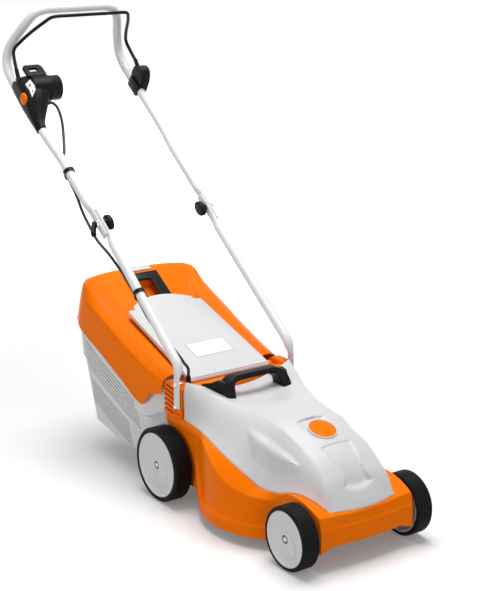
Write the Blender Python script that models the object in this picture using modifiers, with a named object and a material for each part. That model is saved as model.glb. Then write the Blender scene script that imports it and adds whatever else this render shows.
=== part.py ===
"""Corded electric lawn mower with a folding handle and a rear grass box.

The ground is z = 0, the mower drives towards -Y, and x = 0 is its plane of symmetry.
Its own right-hand side is -X and its left-hand side is +X.
Lengths named BACK, or the first value of a station, are measured backwards from the front axle.
The origin is on the ground, under the middle of the mower's length and width.
"""

import math

import bmesh
import bpy
from mathutils import Matrix, Vector

MM = 0.001
SIDES = {"right": -1, "left": 1}

# Clearances
GAP = 0.3 * MM                  # between pieces that touch
RUNNING_GAP = 0.6 * MM          # between pieces that turn or slide past each other

# Wheels and axles
FRONT_WHEEL_RADIUS = 65 * MM
FRONT_WHEEL_WIDTH = 40 * MM
WHEEL_CLEARANCE = 6 * MM         # between a wheel and the deck's side
REAR_WHEEL_RADIUS = 81 * MM
REAR_WHEEL_WIDTH = 42 * MM
WHEELBASE = 426 * MM
FRONT_TYRE_DEPTH = 8 * MM
REAR_TYRE_DEPTH = 10.5 * MM
TYRE_SHOULDER = 4 * MM
RIM_WALL = 3.5 * MM
RIM_DISH = 4.5 * MM             # how deep the rim's face lies inside its lip
HUB_RADIUS = 13 * MM
HUB_CAP_RADIUS = 10 * MM
HUB_CAP_THICKNESS = 2.5 * MM
AXLE_RADIUS = 5 * MM
CRANK_THICKNESS = 4.2 * MM
CRANK_HALF_WIDTH = 9 * MM
CRANK_DROP = 20 * MM            # wheel axis above the axle's pivot at the lowest cut
CRANK_REACH = 19.6 * MM         # wheel axis ahead of (front) or behind (rear) the pivot
WHEEL_SIDES = 32

# Handle
TUBE_RADIUS = 10.5 * MM
FOLD_BACK = 711 * MM
FOLD_Z = 549.5 * MM
FOOT_BACK = 396 * MM
FOOT_TOP_Z = 296 * MM
FOOT_BOTTOM_Z = 203 * MM
FOOT_THICKNESS = 6 * MM
LOWER_END_X = 139.2 * MM        # middle of the lower tube's flattened end
UPPER_END_X = 147.5 * MM        # middle of the upper tube's flattened end
CRIMP_THICKNESS = 7.9 * MM
CRIMP_LENGTH = 36 * MM          # how far the tube ends run past the fold bolt
CRIMP_RUN = 26 * MM             # length over which a tube goes from round to flat
FOOT_BOLT_RADIUS = 3 * MM
FOOT_BOLT_HEIGHTS = {"upper": 263 * MM, "lower": 214 * MM}
FOOT_BOLT_LENGTH = 15 * MM      # of the shank, from the foot's outer face inwards
FOLD_BOLT_RADIUS = 4 * MM
FOLD_HEAD = 4.5 * MM
KNOB_THICKNESS = 13 * MM
KNOB_HALF_LENGTH = 19 * MM
KNOB_HALF_WIDTH = 13.5 * MM

# The upper handle from its top middle down one arm: x, back, z
HANDLE_LOOP = [
    (0, 1052, 989), (52, 1052, 989), (82, 1053.5, 988), (103, 1058, 982), (118, 1067, 966),
    (130.5, 1085, 941), (141, 1104, 917), (149, 1116, 893), (153.5, 1118, 869), (156.5, 1107, 845),
    (157.5, 1084, 823), (157.8, 1030, 784), (157, 974, 744), (155, 930, 713), (148.6, 865, 665.5),
]
# The bail from its top middle down to its pivot
BAIL_LOOP = [
    (0, 984, 978.4), (60, 984, 978.4), (87, 984, 978.4), (94.3, 984.7, 977.8), (100.4, 986.9, 976.1),
    (105.3, 990.6, 973.2), (108.8, 995.7, 969.2), (146.4, 1072.1, 909.9), (149.7, 1077.8, 903.9),
    (152.5, 1080.1, 897.3), (154.8, 1079.2, 890.2), (156.5, 1074.8, 882.6), (162, 1052, 852),
]
BAIL_RADIUS = 4 * MM
BAIL_PIVOT_X = 163 * MM
BAIL_PIVOT_BACK = 1041 * MM
BAIL_PIVOT_Z = 832 * MM
BAIL_BOSS_RADIUS = 6.5 * MM
BAIL_BOSS_LENGTH = 9 * MM
BAIL_SLEEVE_RADIUS = 5.2 * MM
BAIL_SLEEVE_LENGTH = 27 * MM

# Motor hood: back, middle height, ridge half width, ridge height, edge half width, edge height
HOOD_STATIONS = [
    (-44, 111.2, 70, 114.2, 81, 113.8), (-20, 160, 70.5, 154, 88, 121), (0, 180, 68, 173, 93, 127),
    (30, 201, 68, 193, 103, 133), (60, 215, 69, 207, 112, 128), (75, 221.5, 69, 212.5, 116.5, 122.5),
    (90, 227, 69, 217, 120, 120),
    (123, 236, 69, 227, 128, 119.5), (155, 242, 70, 234, 141, 138), (193, 246, 72, 238.5, 149, 154),
    (230, 246, 76, 241, 151, 166), (265, 242, 85, 245, 151, 177), (305, 239, 99, 250, 149, 186),
    (345, 238, 119, 259, 145, 188), (385, 238, 132, 267, 141, 188.5),
]
HOOD_WALL = 2.5 * MM
HOOD_BULGE = 7 * MM             # of the hood's flanks between ridge and edge
HOOD_FRONT_BOW = 9 * MM         # how far the hood's nose stands ahead of its front corners
HOOD_CORNER = 6 * MM            # how far the front corners curve back
BADGE_BACK = 92 * MM
BADGE_RADIUS = 30 * MM
BADGE_THICKNESS = 2.5 * MM

# Carry handle: x, back, z, depth along the mower, thickness, from the middle to a foot
CARRY_SECTIONS = [
    (0, 331, 279, 24, 13), (34, 331, 278.5, 25, 14), (52, 329, 275, 28, 17), (66, 325, 266, 34, 22),
    (74, 322, 250, 42, 25), (78, 319, 226, 48, 26),
]

# Deck housing
DECK_WALL = 3 * MM
CHAMBER_BACK = 212 * MM         # blade axis
SKIRT_RADIUS = 183 * MM
CHAMBER_WALL_RADIUS = 176 * MM  # above the skirt's ledge
SKIRT_Z = 22 * MM
LEDGE_Z = 47 * MM
LEDGE_HEIGHT = 4 * MM
ROOF_Z = 104 * MM
SHAFT_HOLE_RADIUS = 18 * MM
SEAT_RIM = 1.5 * MM             # the deck's shoulder outside the hood's edge
SEAT_WIDTH = 8 * MM
REAR_SEAT_WIDTH = 16 * MM       # where the hood's edge overhangs the deck's wall
BAFFLE_RADIUS = 170 * MM
# Height of the shoulder ridge on the chamber wall: back, height
SHOULDER = [(80, 104), (110, 106), (150, 113), (196, 127), (232, 150), (268, 172), (330, 174)]
REAR_SHOULDER_DROP = 13 * MM
BUMPER_LEDGE_Z = 86 * MM
NOSE_HALF_WIDTH = 118 * MM
FRONT_WHEEL_OUTER_X = NOSE_HALF_WIDTH + WHEEL_CLEARANCE - 1 * MM + FRONT_WHEEL_WIDTH
# Columns of the deck's nose, each with its bottom, its wall above the ledge, its shoulder and its
# seat; a seat is given by its x across the front, and by its length back along the side
FRONT_COLUMNS = [
    ((0, -60, 50), (0, -56.5), (0, -56, 109), 0),
    ((45, -59, 50), (45, -55.5), (45, -55, 110), 43),
    ((88, -55, 50), (88, -51.5), (86, -50.5, 111), 60),
    ((96, -54.5, 45), (96, -53), (96, -49.8, 112), 72),
    ((115.5, -55.5, 41.6), (115.4, -53.5), (114.7, -49.4, 114), 81),
]
SIDE_COLUMNS = [
    ((117.5, -32, 36), (117.5, -32), (116.5, -30, 122), -20),
    ((118, 0, 34), (118, 0), (117.5, 0, 131), 0),
    ((118, 33, 34), (118, 33), (118, 32, 134), 30),
    ((118, 60, 28), (118, 60), (118, 60, 129), 60),
    ((121.5, 78, 23), (121, 78), (121, 77, 114), 75),
]
CHAMBER_BACKS = [90, 123, 155, 193, 230, 265, 305]
REAR_BOTTOM_Z = 45 * MM
DECK_REAR_BACK = 446 * MM
REAR_TOP_Z = 188 * MM
BRIDGE_BACK = 386.5 * MM        # front face of the raised bridge behind the hood
BRIDGE_HALF_WIDTH = 126 * MM
REAR_HALF_WIDTH = BRIDGE_HALF_WIDTH + 12 * MM
REAR_SHOULDER_X = REAR_HALF_WIDTH + 8 * MM
REAR_WHEEL_OUTER_X = REAR_HALF_WIDTH + WHEEL_CLEARANCE + REAR_WHEEL_WIDTH
BRIDGE_TOP_Z = 250 * MM
BRIDGE_WALL = 3.5 * MM
LIP_HALF_WIDTH = 100 * MM
LIP_DEPTH = 14 * MM
LIP_HEIGHT = 7 * MM
MOUTH_HALF_WIDTH = 100 * MM
MOUTH_BOTTOM_Z = 88 * MM
MOUTH_TOP_Z = 236 * MM
MOUNT_OUTER_X = BRIDGE_HALF_WIDTH + 20 * MM
FOOT_X = MOUNT_OUTER_X + FOOT_THICKNESS / 2 + 0.5 * MM       # middle of the flattened foot
LOWER_TUBE_X = FOOT_X - 5.5 * MM
MOUNT_TOP_Z = 262 * MM
MOUNT_REAR_BACK = 448 * MM
RIB_COUNT = 5
RIB_HEIGHT = 3 * MM
RIB_THICKNESS = 3 * MM
RIB_PITCH = 11 * MM

# Discharge flap
HINGE_BACK = 418 * MM
HINGE_Z = 256 * MM
HINGE_PIN_RADIUS = 2.5 * MM
HINGE_BARREL_RADIUS = 5.6 * MM
EAR_INNER_X = 103.2 * MM
EAR_THICKNESS = 6 * MM
FLAP_FRONT_BACK = 415 * MM
FLAP_REAR_BACK = 671 * MM
FLAP_BOW = 44 * MM              # how far the rear edge runs on at the middle
FLAP_FRONT_Z = 262.6 * MM
FLAP_SLOPE = 0.3295             # rise per length
FLAP_HALF_WIDTH = 102.6 * MM
FLAP_REAR_HALF_WIDTH = 97.5 * MM
FLAP_WALL = 3 * MM
FLAP_SIDE_DEPTH = 10 * MM
FLAP_CROWN = 2 * MM

# Grass box lid: back, middle height, shoulder height, ridge x and z, skirt x and z
LID_STATIONS = [
    (450, 257, 262, 149, 257, 156, 228), (486, 268, 274, 152, 264.5, 161, 217),
    (516, 278, 284.5, 154, 272, 165, 188), (603, 306, 313, 156, 302, 167, 225),
    (671, 328, 335, 157, 329, 167.5, 254), (706, 344, 350, 157, 343, 167.5, 268),
    (745, 368, 371, 157, 358, 167.5, 281), (785, 394, 395, 156, 371, 167, 296),
    (812, 404, 402, 153, 374, 165, 306), (830, 398, 394, 146, 367, 158, 312),
    (839, 380, 376, 140, 352, 152, 315),
]
LID_SHOULDER_X = 108 * MM
LID_WALL = 2.5 * MM
LID_REAR_DROP_BACK = 843 * MM
LID_REAR_BOTTOM_Z = 316 * MM
# Basket: back at the bottom, back at the top, bottom half width and height, top half width and height
BASKET_STATIONS = [
    (452, 452, 116, 84, 140, 240), (478, 478, 122, 66, 141, 234), (518, 518, 125, 54, 154, 215),
    (617, 617, 126, 46, 157, 240), (700, 712, 126, 57, 158, 283), (762, 798, 124, 70, 154, 318),
]
BASKET_WALL = 2.2 * MM
BASKET_KNEE = 0.62              # height share where the flanks turn inwards
SLOT_COUNT = 8
SLOT_HEIGHT = 3 * MM
SLOT_SLOPE = 22                 # degrees
# Slot groups: first slot's middle back and height, length, pitch
SLOT_GROUPS = [(668, 222, 236, 9.2), (690, 141, 172, 8.0)]
GRIP_FRONT_BACK = 718 * MM
GRIP_REAR_BACK = 790 * MM
GRIP_HALF_WIDTH = 45 * MM
GRIP_SLOT_HALF_WIDTH = 15 * MM
GRIP_BAR = 25 * MM
GRIP_THICKNESS = 5 * MM
GRIP_LIFT = 1.2 * MM
POCKET_DEPTH = 24 * MM          # finger room in the lid under the grip
POCKET_HALF_WIDTH = 30 * MM
INDICATOR_BACK = 795 * MM
INDICATOR_LENGTH = 17 * MM
INDICATOR_HALF_WIDTH = 38 * MM
INDICATOR_THICKNESS = 2 * MM
INDICATOR_LIFT = 1.4 * MM

# Motor, fan and blade
MOTOR_RADIUS = 62 * MM
MOTOR_TOP_Z = 200 * MM
MOTOR_WALL = 2.5 * MM
STATOR_BOTTOM_Z = 122 * MM
STATOR_TOP_Z = 176 * MM
ROTOR_RADIUS = 35 * MM
SHAFT_RADIUS = 8 * MM
BEARING_RADIUS = 16 * MM
BEARING_HEIGHT = 10 * MM
FAN_RADIUS = 50 * MM
FAN_HEIGHT = 11 * MM
FAN_BLADES = 7
CARRIER_RADIUS = 27 * MM
CARRIER_BOTTOM_Z = 31.3 * MM
CARRIER_FLANGE = 6 * MM
CARRIER_TOP_Z = 66 * MM
BLADE_LENGTH = 330 * MM
BLADE_WIDTH = 44 * MM
BLADE_THICKNESS = 3 * MM
BLADE_LIFT = 9 * MM
BLADE_TOP_Z = 31 * MM
BLADE_BOLT_RADIUS = 4 * MM

# The straight stretch of the handle arms that carries the switch box: two points as back, z
GRIP_LINE = ((930, 713), (1084, 823))
GRIP_LINE_X = 157.5 * MM
# Switch box round the right arm. Each station: back along the arm, outer x, outer side's top,
# ridge x and height, inner x and height; heights are square to the arm, from its middle
SWITCH_STATIONS = [
    (948, 171.5, 4, 157.5, 14, 143.5, 6), (962, 172, 6, 156, 18, 141, 8),
    (984, 173, 13, 149, 30, 127, 20), (1004, 174, 22, 142, 42, 113, 32),
    (1024, 174, 28, 137, 50, 104, 40), (1044, 174, 30, 134, 53, 103, 44),
    (1057, 173, 30, 135, 51, 104, 42), (1069, 169, 26, 138, 35, 112, 27),
]
SWITCH_POCKET_X = 141 * MM
# Strap eye on the box: back along the arm and x of the corners, and of its slot's corners
EYE_OUTLINE = [(1052, 150), (1074, 150), (1079, 145), (1079, 108), (1072, 102), (1052, 101)]
EYE_SLOT = [(1062, 139), (1071, 139), (1071, 116), (1062, 116)]
EYE_LOW = 46 * MM
EYE_HIGH = 51.5 * MM
INLET_BACK = 1022 * MM
INLET_Z = 810 * MM
INLET_BOSS_RADIUS = 31 * MM
INLET_BOSS_X = 101 * MM         # x of the boss's face, on the right-hand side
INLET_RADIUS = 29.5 * MM
INLET_WALL = 3.5 * MM
INLET_REACH_X = 73 * MM         # x of the shroud's open end
INLET_PLATE = 4 * MM
INLET_FLOOR = 3 * MM
INSERT_THICKNESS = 4 * MM
PIN_RADIUS = 2 * MM
PIN_LENGTH = 18 * MM
PIN_SPACING = 19 * MM
BUTTON_BACK = 1016 * MM         # along the arm
BUTTON_HEIGHT = 22 * MM         # from the arm's middle
BUTTON_RADIUS = 14 * MM
BUTTON_INNER_X = 168.5 * MM
BUTTON_OUTER_X = 178 * MM
BUTTON_TRAVEL = 1.5 * MM
# Left bail bracket: clamp and housing as back along the arm and height from its middle
CLAMP_OUTLINE = [(1023, -12.8), (1060, -12.8), (1060, 14), (1025, 14)]
CLAMP_INNER_X = 145.5 * MM
HOUSING_OUTLINE = [
    (1024, -12.8), (1058, -12.8), (1067, 20), (1066, 40), (1053, 53), (1040, 55), (1031, 46),
    (1026, 28),
]
HOUSING_INNER_X = 151 * MM
BRACKET_OUTER_X = 175 * MM

# Lead from the switch box to the motor
CABLE_RADIUS = 3.25 * MM
CABLE_OFFSET = TUBE_RADIUS + CABLE_RADIUS + 2 * MM
LEAD_START_X = 117 * MM
LEAD_START = (1004 * MM, 778 * MM)      # back and z of the gland in the switch box
CLIP_WALL = 2 * MM
CLIP_WIDTH = 9 * MM
CLIP_CLEARANCE = 0.8 * MM
LEAD_FOLD_X = 158.5 * MM
LEAD_FOLD_EXTRA = 5 * MM
UPPER_CLIP_BACK = 838 * MM
LOWER_CLIP_BACK = 553 * MM
GROMMET_X = BRIDGE_HALF_WIDTH - 10 * MM
GROMMET_BACK = 402 * MM
GROMMET_HEIGHT = 18 * MM
GROMMET_RADIUS = 6.5 * MM

FRONT_WHEEL_BACK = 0.0
REAR_WHEEL_BACK = WHEELBASE

# Colours: red, green, blue, roughness, metallic
FINISHES = {
    "orange": (0.86, 0.22, 0.012, 0.35, 0.0),
    "light_grey": (0.72, 0.72, 0.73, 0.40, 0.0),
    "basket_grey": (0.45, 0.45, 0.46, 0.55, 0.0),
    "dark_grey": (0.10, 0.10, 0.105, 0.5, 0.0),
    "black": (0.018, 0.018, 0.019, 0.45, 0.0),
    "rubber": (0.015, 0.015, 0.015, 0.7, 0.0),
    "white_tube": (0.80, 0.80, 0.80, 0.30, 0.0),
    "steel": (0.55, 0.55, 0.56, 0.30, 1.0),
    "copper": (0.60, 0.26, 0.12, 0.35, 1.0),
}


def clear_scene():
    for obj in list(bpy.data.objects):
        bpy.data.objects.remove(obj, do_unlink=True)


def new_collection(name):
    collection = bpy.data.collections.new(name)
    bpy.context.scene.collection.children.link(collection)
    return collection


def make_finish(name):
    red, green, blue, roughness, metallic = FINISHES[name]
    finish = bpy.data.materials.new(name)
    finish.use_nodes = True
    shader = finish.node_tree.nodes["Principled BSDF"]
    shader.inputs["Base Color"].default_value = (red, green, blue, 1)
    shader.inputs["Roughness"].default_value = roughness
    shader.inputs["Metallic"].default_value = metallic
    finish.diffuse_color = (red, green, blue, 1)
    return finish


clear_scene()
PARTS = new_collection("electric_lawn_mower")
TOOLS = new_collection("cutters")
TOOL = None                     # finish of a cutter or of a body that is joined to another


# Basic shapes

def add_object(name, mesh, finish):
    """Put a mesh in the scene: a part with its own finish, or a hidden tool."""
    obj = bpy.data.objects.new(name, mesh)
    if finish is TOOL:
        TOOLS.objects.link(obj)
        obj.hide_render = True
        obj.display_type = "WIRE"
    else:
        PARTS.objects.link(obj)
        mesh.materials.clear()
        own = make_finish(finish)
        own.name = name
        mesh.materials.append(own)
    return obj


def from_bmesh(name, bm, finish):
    mesh = bpy.data.meshes.new(name)
    bm.to_mesh(mesh)
    bm.free()
    return add_object(name, mesh, finish)


def block(name, low, high, finish=TOOL):
    """Box between two opposite corners."""
    low, high = Vector(low), Vector(high)
    bm = bmesh.new()
    bmesh.ops.create_cube(bm, size=1, matrix=Matrix.LocRotScale((low + high) / 2, None, high - low))
    return from_bmesh(name, bm, finish)


def rod(name, start, end, radius, finish=TOOL, sides=16, end_radius=None):
    """Round bar or cone between two points."""
    start, end = Vector(start), Vector(end)
    turn = Vector((0, 0, 1)).rotation_difference(end - start).to_matrix().to_4x4()
    bm = bmesh.new()
    bmesh.ops.create_cone(
        bm, cap_ends=True, segments=sides, radius1=radius,
        radius2=radius if end_radius is None else end_radius, depth=(end - start).length,
        matrix=Matrix.Translation((start + end) / 2) @ turn)
    return from_bmesh(name, bm, finish)


def turned(name, profile, centre, axis, sides, finish=TOOL, closed=True):
    """Solid turned from (radius, height) points, which run down the outer side first."""
    mesh = bpy.data.meshes.new(name)
    edges = [(i, i + 1) for i in range(len(profile) - 1)]
    if closed:
        edges.append((len(profile) - 1, 0))
    mesh.from_pydata([(radius, 0, height) for radius, height in profile], edges, [])
    obj = add_object(name, mesh, finish)
    screw = obj.modifiers.new("turn", "SCREW")
    screw.steps = sides
    screw.render_steps = sides
    screw.use_merge_vertices = True
    screw.merge_threshold = 0.01 * MM
    obj.location = centre
    if axis == "X":
        obj.rotation_euler = (0, math.radians(90), 0)
    return obj


def plate(name, outline, low_x, high_x, finish=TOOL):
    """Flat outline of (y, z) points, thick along X between two values."""
    curve = bpy.data.curves.new(name, "CURVE")
    curve.dimensions = "2D"
    curve.fill_mode = "BOTH"
    curve.extrude = abs(high_x - low_x) / 2
    spline = curve.splines.new("POLY")
    spline.points.add(len(outline) - 1)
    for point, (y, z) in zip(spline.points, outline):
        point.co = (y, z, 0, 1)
    spline.use_cyclic_u = True
    place = Matrix(((0, 0, 1, (low_x + high_x) / 2), (1, 0, 0, 0), (0, 1, 0, 0), (0, 0, 0, 1)))
    return curve_to_object(name, curve, place, finish)


def tube(name, points, radius, finish=TOOL, resolution=2):
    """Round tube or wire along points."""
    curve = bpy.data.curves.new(name, "CURVE")
    curve.dimensions = "3D"
    curve.bevel_depth = radius
    curve.bevel_resolution = resolution
    curve.use_fill_caps = True
    spline = curve.splines.new("POLY")
    spline.points.add(len(points) - 1)
    for point, place in zip(spline.points, points):
        point.co = (*place, 1)
    return curve_to_object(name, curve, Matrix.Identity(4), finish)


def curve_to_object(name, curve, place, finish):
    """Turn a curve into a closed mesh object and drop the curve."""
    holder = bpy.data.objects.new(name + "_curve", curve)
    bpy.context.scene.collection.objects.link(holder)
    holder.matrix_world = place
    view = bpy.context.evaluated_depsgraph_get()
    mesh = bpy.data.meshes.new_from_object(holder.evaluated_get(view))
    bm = bmesh.new()
    bm.from_mesh(mesh)
    bmesh.ops.remove_doubles(bm, verts=bm.verts, dist=0.01 * MM)
    bmesh.ops.recalc_face_normals(bm, faces=bm.faces)
    bmesh.ops.transform(bm, matrix=place, verts=bm.verts)
    bm.to_mesh(mesh)
    bm.free()
    bpy.data.objects.remove(holder)
    return add_object(name, mesh, finish)


def add_cell(bm, a, b, c, d):
    """Two triangles for a four-sided cell, split at its shorter diagonal."""
    if (a.co - c.co).length <= (b.co - d.co).length + 0.001 * MM:
        bm.faces.new((a, b, c))
        bm.faces.new((a, c, d))
    else:
        bm.faces.new((a, b, d))
        bm.faces.new((b, c, d))


def loft(name, rows, finish=TOOL, ring=False, cap=False, floor=False):
    """Surface over rows of points; rows may be closed rings, with caps, or end in a flat floor."""
    bm = bmesh.new()
    grid = [[bm.verts.new(point) for point in row] for row in rows]
    count = len(rows[0])
    for lower, upper in zip(grid[:-1], grid[1:]):
        for i in range(count if ring else count - 1):
            j = (i + 1) % count
            add_cell(bm, lower[i], lower[j], upper[j], upper[i])
    if cap:
        bm.faces.new(reversed(grid[0]))
        bm.faces.new(grid[-1])
    if floor:
        bm.faces.new(grid[-1])
    bmesh.ops.remove_doubles(bm, verts=bm.verts, dist=0.01 * MM)
    if cap:
        bmesh.ops.recalc_face_normals(bm, faces=bm.faces)
    return from_bmesh(name, bm, finish)


# Modifiers

def thicken(obj, thickness):
    wall = obj.modifiers.new("wall", "SOLIDIFY")
    wall.thickness = thickness
    wall.offset = -1
    wall.use_even_offset = True


def mirror_x(obj):
    mirror = obj.modifiers.new("mirror", "MIRROR")
    mirror.merge_threshold = 0.01 * MM


def round_edges(obj, width, segments=2, angle=35):
    bevel = obj.modifiers.new("round", "BEVEL")
    bevel.width = width
    bevel.segments = segments
    bevel.limit_method = "ANGLE"
    bevel.angle_limit = math.radians(angle)


def combine(obj, tool, operation):
    step = obj.modifiers.new(operation.lower(), "BOOLEAN")
    step.operation = operation
    step.object = tool
    step.solver = "EXACT"


def cut(obj, *tools):
    for tool in tools:
        combine(obj, tool, "DIFFERENCE")


def join(obj, *tools):
    for tool in tools:
        combine(obj, tool, "UNION")


# Places and outlines

def smooth_path(points, steps):
    """Points on a smooth curve through the given ones, with a Hermite piece for each pair."""
    slopes = []
    for index in range(len(points)):
        before = points[index] - points[max(index - 1, 0)]
        after = points[min(index + 1, len(points) - 1)] - points[index]
        slope = before.normalized() * after.length + after.normalized() * before.length
        slopes.append((slope if slope.length else before + after).normalized())
    path = []
    for start, end, leave, arrive in zip(points[:-1], points[1:], slopes[:-1], slopes[1:]):
        reach = (end - start).length
        for step in range(steps):
            t = step / steps
            path.append(start * (2 * t ** 3 - 3 * t ** 2 + 1) + end * (3 * t ** 2 - 2 * t ** 3)
                        + leave * reach * (t ** 3 - 2 * t ** 2 + t)
                        + arrive * reach * (t ** 3 - t ** 2))
    path.append(points[-1].copy())
    return path


def handle_half(points, steps):
    """Half of a handle loop as measured back from the front axle, in metres."""
    return smooth_path([Vector(point) * MM for point in points], steps)


HANDLE_HALF = handle_half(HANDLE_LOOP, 1)
HANDLE_REAR_BACK = max(point.y for point in HANDLE_HALF) + TUBE_RADIUS
FRONT_AXLE_Y = -(HANDLE_REAR_BACK - FRONT_WHEEL_RADIUS) / 2


def at(x, back, z):
    """World point from x, the length back from the front axle, and height, in metres."""
    return Vector((x, FRONT_AXLE_Y + back, z))


def at_mm(x, back, z):
    return at(x * MM, back * MM, z * MM)


def between(stations, back, column):
    """Value of a station table's column at a length back, in millimetres as the table."""
    for near, far in zip(stations[:-1], stations[1:]):
        if back <= far[0] or far is stations[-1]:
            share = (back - near[0]) / (far[0] - near[0])
            return near[column] + (far[column] - near[column]) * min(max(share, 0), 1)


def stadium(start, end, half_width, steps=6):
    """Outline of a bar with round ends between two (y, z) points."""
    start, end = Vector(start), Vector(end)
    heading = math.atan2(end.y - start.y, end.x - start.x)
    outline = []
    for centre, turn in ((end, -90), (start, 90)):
        for step in range(steps + 1):
            angle = heading + math.radians(turn + 180 * step / steps)
            outline.append((centre.x + half_width * math.cos(angle),
                            centre.y + half_width * math.sin(angle)))
    return outline


def ellipse(centre_y, centre_z, half_y, half_z, tilt=0.0, steps=20):
    points = []
    for step in range(steps):
        angle = 2 * math.pi * step / steps
        y, z = half_y * math.cos(angle), half_z * math.sin(angle)
        points.append((centre_y + y * math.cos(tilt) - z * math.sin(tilt),
                       centre_z + y * math.sin(tilt) + z * math.cos(tilt)))
    return points


def outline_at(points):
    return [(FRONT_AXLE_Y + back * MM, z * MM) for back, z in points]


def hang_on(pivot_name, location, *objects):
    """Parent objects to an empty that stands on their joint's axis."""
    empty = bpy.data.objects.new(pivot_name, None)
    PARTS.objects.link(empty)
    empty.empty_display_size = 20 * MM
    empty.location = location
    for obj in objects:
        obj.parent = empty
        obj.matrix_parent_inverse = Matrix.Translation(location).inverted()


# Deck housing

def hood_edge(back):
    """Half width and height of the hood's lower edge."""
    return between(HOOD_STATIONS, back, 4), between(HOOD_STATIONS, back, 5)


def seat_beside(back):
    edge_x, edge_z = hood_edge(back)
    return (edge_x + SEAT_RIM / MM, back, edge_z - 2 * GAP / MM)


def seat_ahead(x):
    """Seat under the hood's nose."""
    nose_back, middle_z, ridge_x, ridge_z, edge_x, edge_z = HOOD_STATIONS[0]
    share = min(x / ridge_x, 1) ** 2
    beside = max(x - ridge_x, 0) / (edge_x - ridge_x)
    back = nose_back - HOOD_FRONT_BOW / MM * (1 - share) + HOOD_CORNER / MM * beside ** 2
    z = middle_z + (ridge_z - middle_z) * share + (edge_z - ridge_z) * beside
    return (x, back - SEAT_RIM / MM, z - 2 * GAP / MM)


def deck_columns():
    """Columns of points round half of the deck, from the nose to the rear, in millimetres."""
    columns = []
    ledge, step, rim = BUMPER_LEDGE_Z / MM, LEDGE_HEIGHT / MM, SEAT_RIM / MM
    nose = [(*column[:3], seat_ahead(column[3])) for column in FRONT_COLUMNS]
    nose += [(*column[:3], seat_beside(column[3])) for column in SIDE_COLUMNS]
    for bottom, wall, shoulder, seat in nose:
        columns.append((bottom, (bottom[0], bottom[1], ledge), (wall[0], wall[1], ledge + step),
                        shoulder, seat))
    ledge = LEDGE_Z / MM
    for wall_back in CHAMBER_BACKS:
        along = (wall_back * MM - CHAMBER_BACK) / CHAMBER_WALL_RADIUS
        across = math.sqrt(1 - along ** 2)
        skirt_x = SKIRT_RADIUS / MM * across
        skirt_back = (CHAMBER_BACK + SKIRT_RADIUS * along) / MM
        wall_x = CHAMBER_WALL_RADIUS / MM * across
        seat = seat_beside(wall_back)
        columns.append(((skirt_x, skirt_back, SKIRT_Z / MM), (skirt_x, skirt_back, ledge),
                        (wall_x, wall_back, ledge + step),
                        (max(wall_x, seat[0] + rim), wall_back, between(SHOULDER, wall_back, 1)),
                        seat))
    low, side, flare = REAR_BOTTOM_Z / MM, REAR_HALF_WIDTH / MM, REAR_SHOULDER_X / MM
    rear, drop = DECK_REAR_BACK / MM, REAR_SHOULDER_DROP / MM
    for back in (345, BRIDGE_BACK / MM - 4, rear):
        seat = seat_beside(back)
        columns.append(((side, back, low), (side, back, 150), (side, back, 154),
                        (max(flare, seat[0] + rim / 2), back, seat[2] - drop), seat))
    top = columns[-1][-1][2]
    for x in (MOUTH_HALF_WIDTH / MM, 50, 0):
        columns.append(((x, rear, low), (x, rear, 150), (x, rear, 154), (x, rear, top - drop),
                        (x, rear - rim, top)))
    return columns


def inward(columns, index):
    """Unit vector square to the seat's outline, pointing into the deck."""
    before = Vector(columns[max(index - 1, 0)][-1]).to_2d()
    after = Vector(columns[min(index + 1, len(columns) - 1)][-1]).to_2d()
    if index == 0:
        before = Vector((-after.x, after.y))
    if index == len(columns) - 1:
        after = Vector((-before.x, before.y))
    run = (after - before).normalized()
    return Vector((-run.y, run.x))


def make_deck():
    columns = deck_columns()
    rows = [[] for _ in range(7)]
    for index, column in enumerate(columns):
        seat = Vector(column[-1])
        into = inward(columns, index)
        overhangs = index > 0 and seat.y > CHAMBER_BACK / MM and column[0][0] < seat.x
        lip = seat.to_2d() + into * ((REAR_SEAT_WIDTH if overhangs else SEAT_WIDTH) / MM)
        well = lip + into * 2
        ends = ((lip.x, lip.y, seat.z), (well.x, well.y, ROOF_Z / MM))
        for row, point in zip(rows, column + ends):
            row.append(at_mm(*point))
    deck = loft("deck_housing", rows, "orange", floor=True)
    mirror_x(deck)
    thicken(deck, DECK_WALL)
    join(deck, make_bridge(), *make_ears(), make_baffle())
    cut(deck, *make_deck_cutters())
    return deck


def make_bridge():
    rear = DECK_REAR_BACK - GAP
    outline = outline_at([(BRIDGE_BACK / MM, 90), (rear / MM, 90), (rear / MM, BRIDGE_TOP_Z / MM),
                          ((BRIDGE_BACK + LIP_DEPTH + 6 * MM) / MM, BRIDGE_TOP_Z / MM),
                          ((BRIDGE_BACK + LIP_DEPTH) / MM, (BRIDGE_TOP_Z + LIP_HEIGHT) / MM),
                          (BRIDGE_BACK / MM, (BRIDGE_TOP_Z + LIP_HEIGHT - 4 * MM) / MM)])
    return plate("bridge", outline, -BRIDGE_HALF_WIDTH, BRIDGE_HALF_WIDTH)


def make_ears():
    ears = []
    for sign in SIDES.values():
        inner, outer = sign * EAR_INNER_X, sign * (EAR_INNER_X + EAR_THICKNESS)
        low = (min(inner, outer), FRONT_AXLE_Y + HINGE_BACK - 8 * MM, BRIDGE_TOP_Z - 3 * MM)
        high = (max(inner, outer), FRONT_AXLE_Y + HINGE_BACK + 8 * MM, HINGE_Z + 6 * MM)
        ears.append(block("ear", low, high))
    return ears


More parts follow.
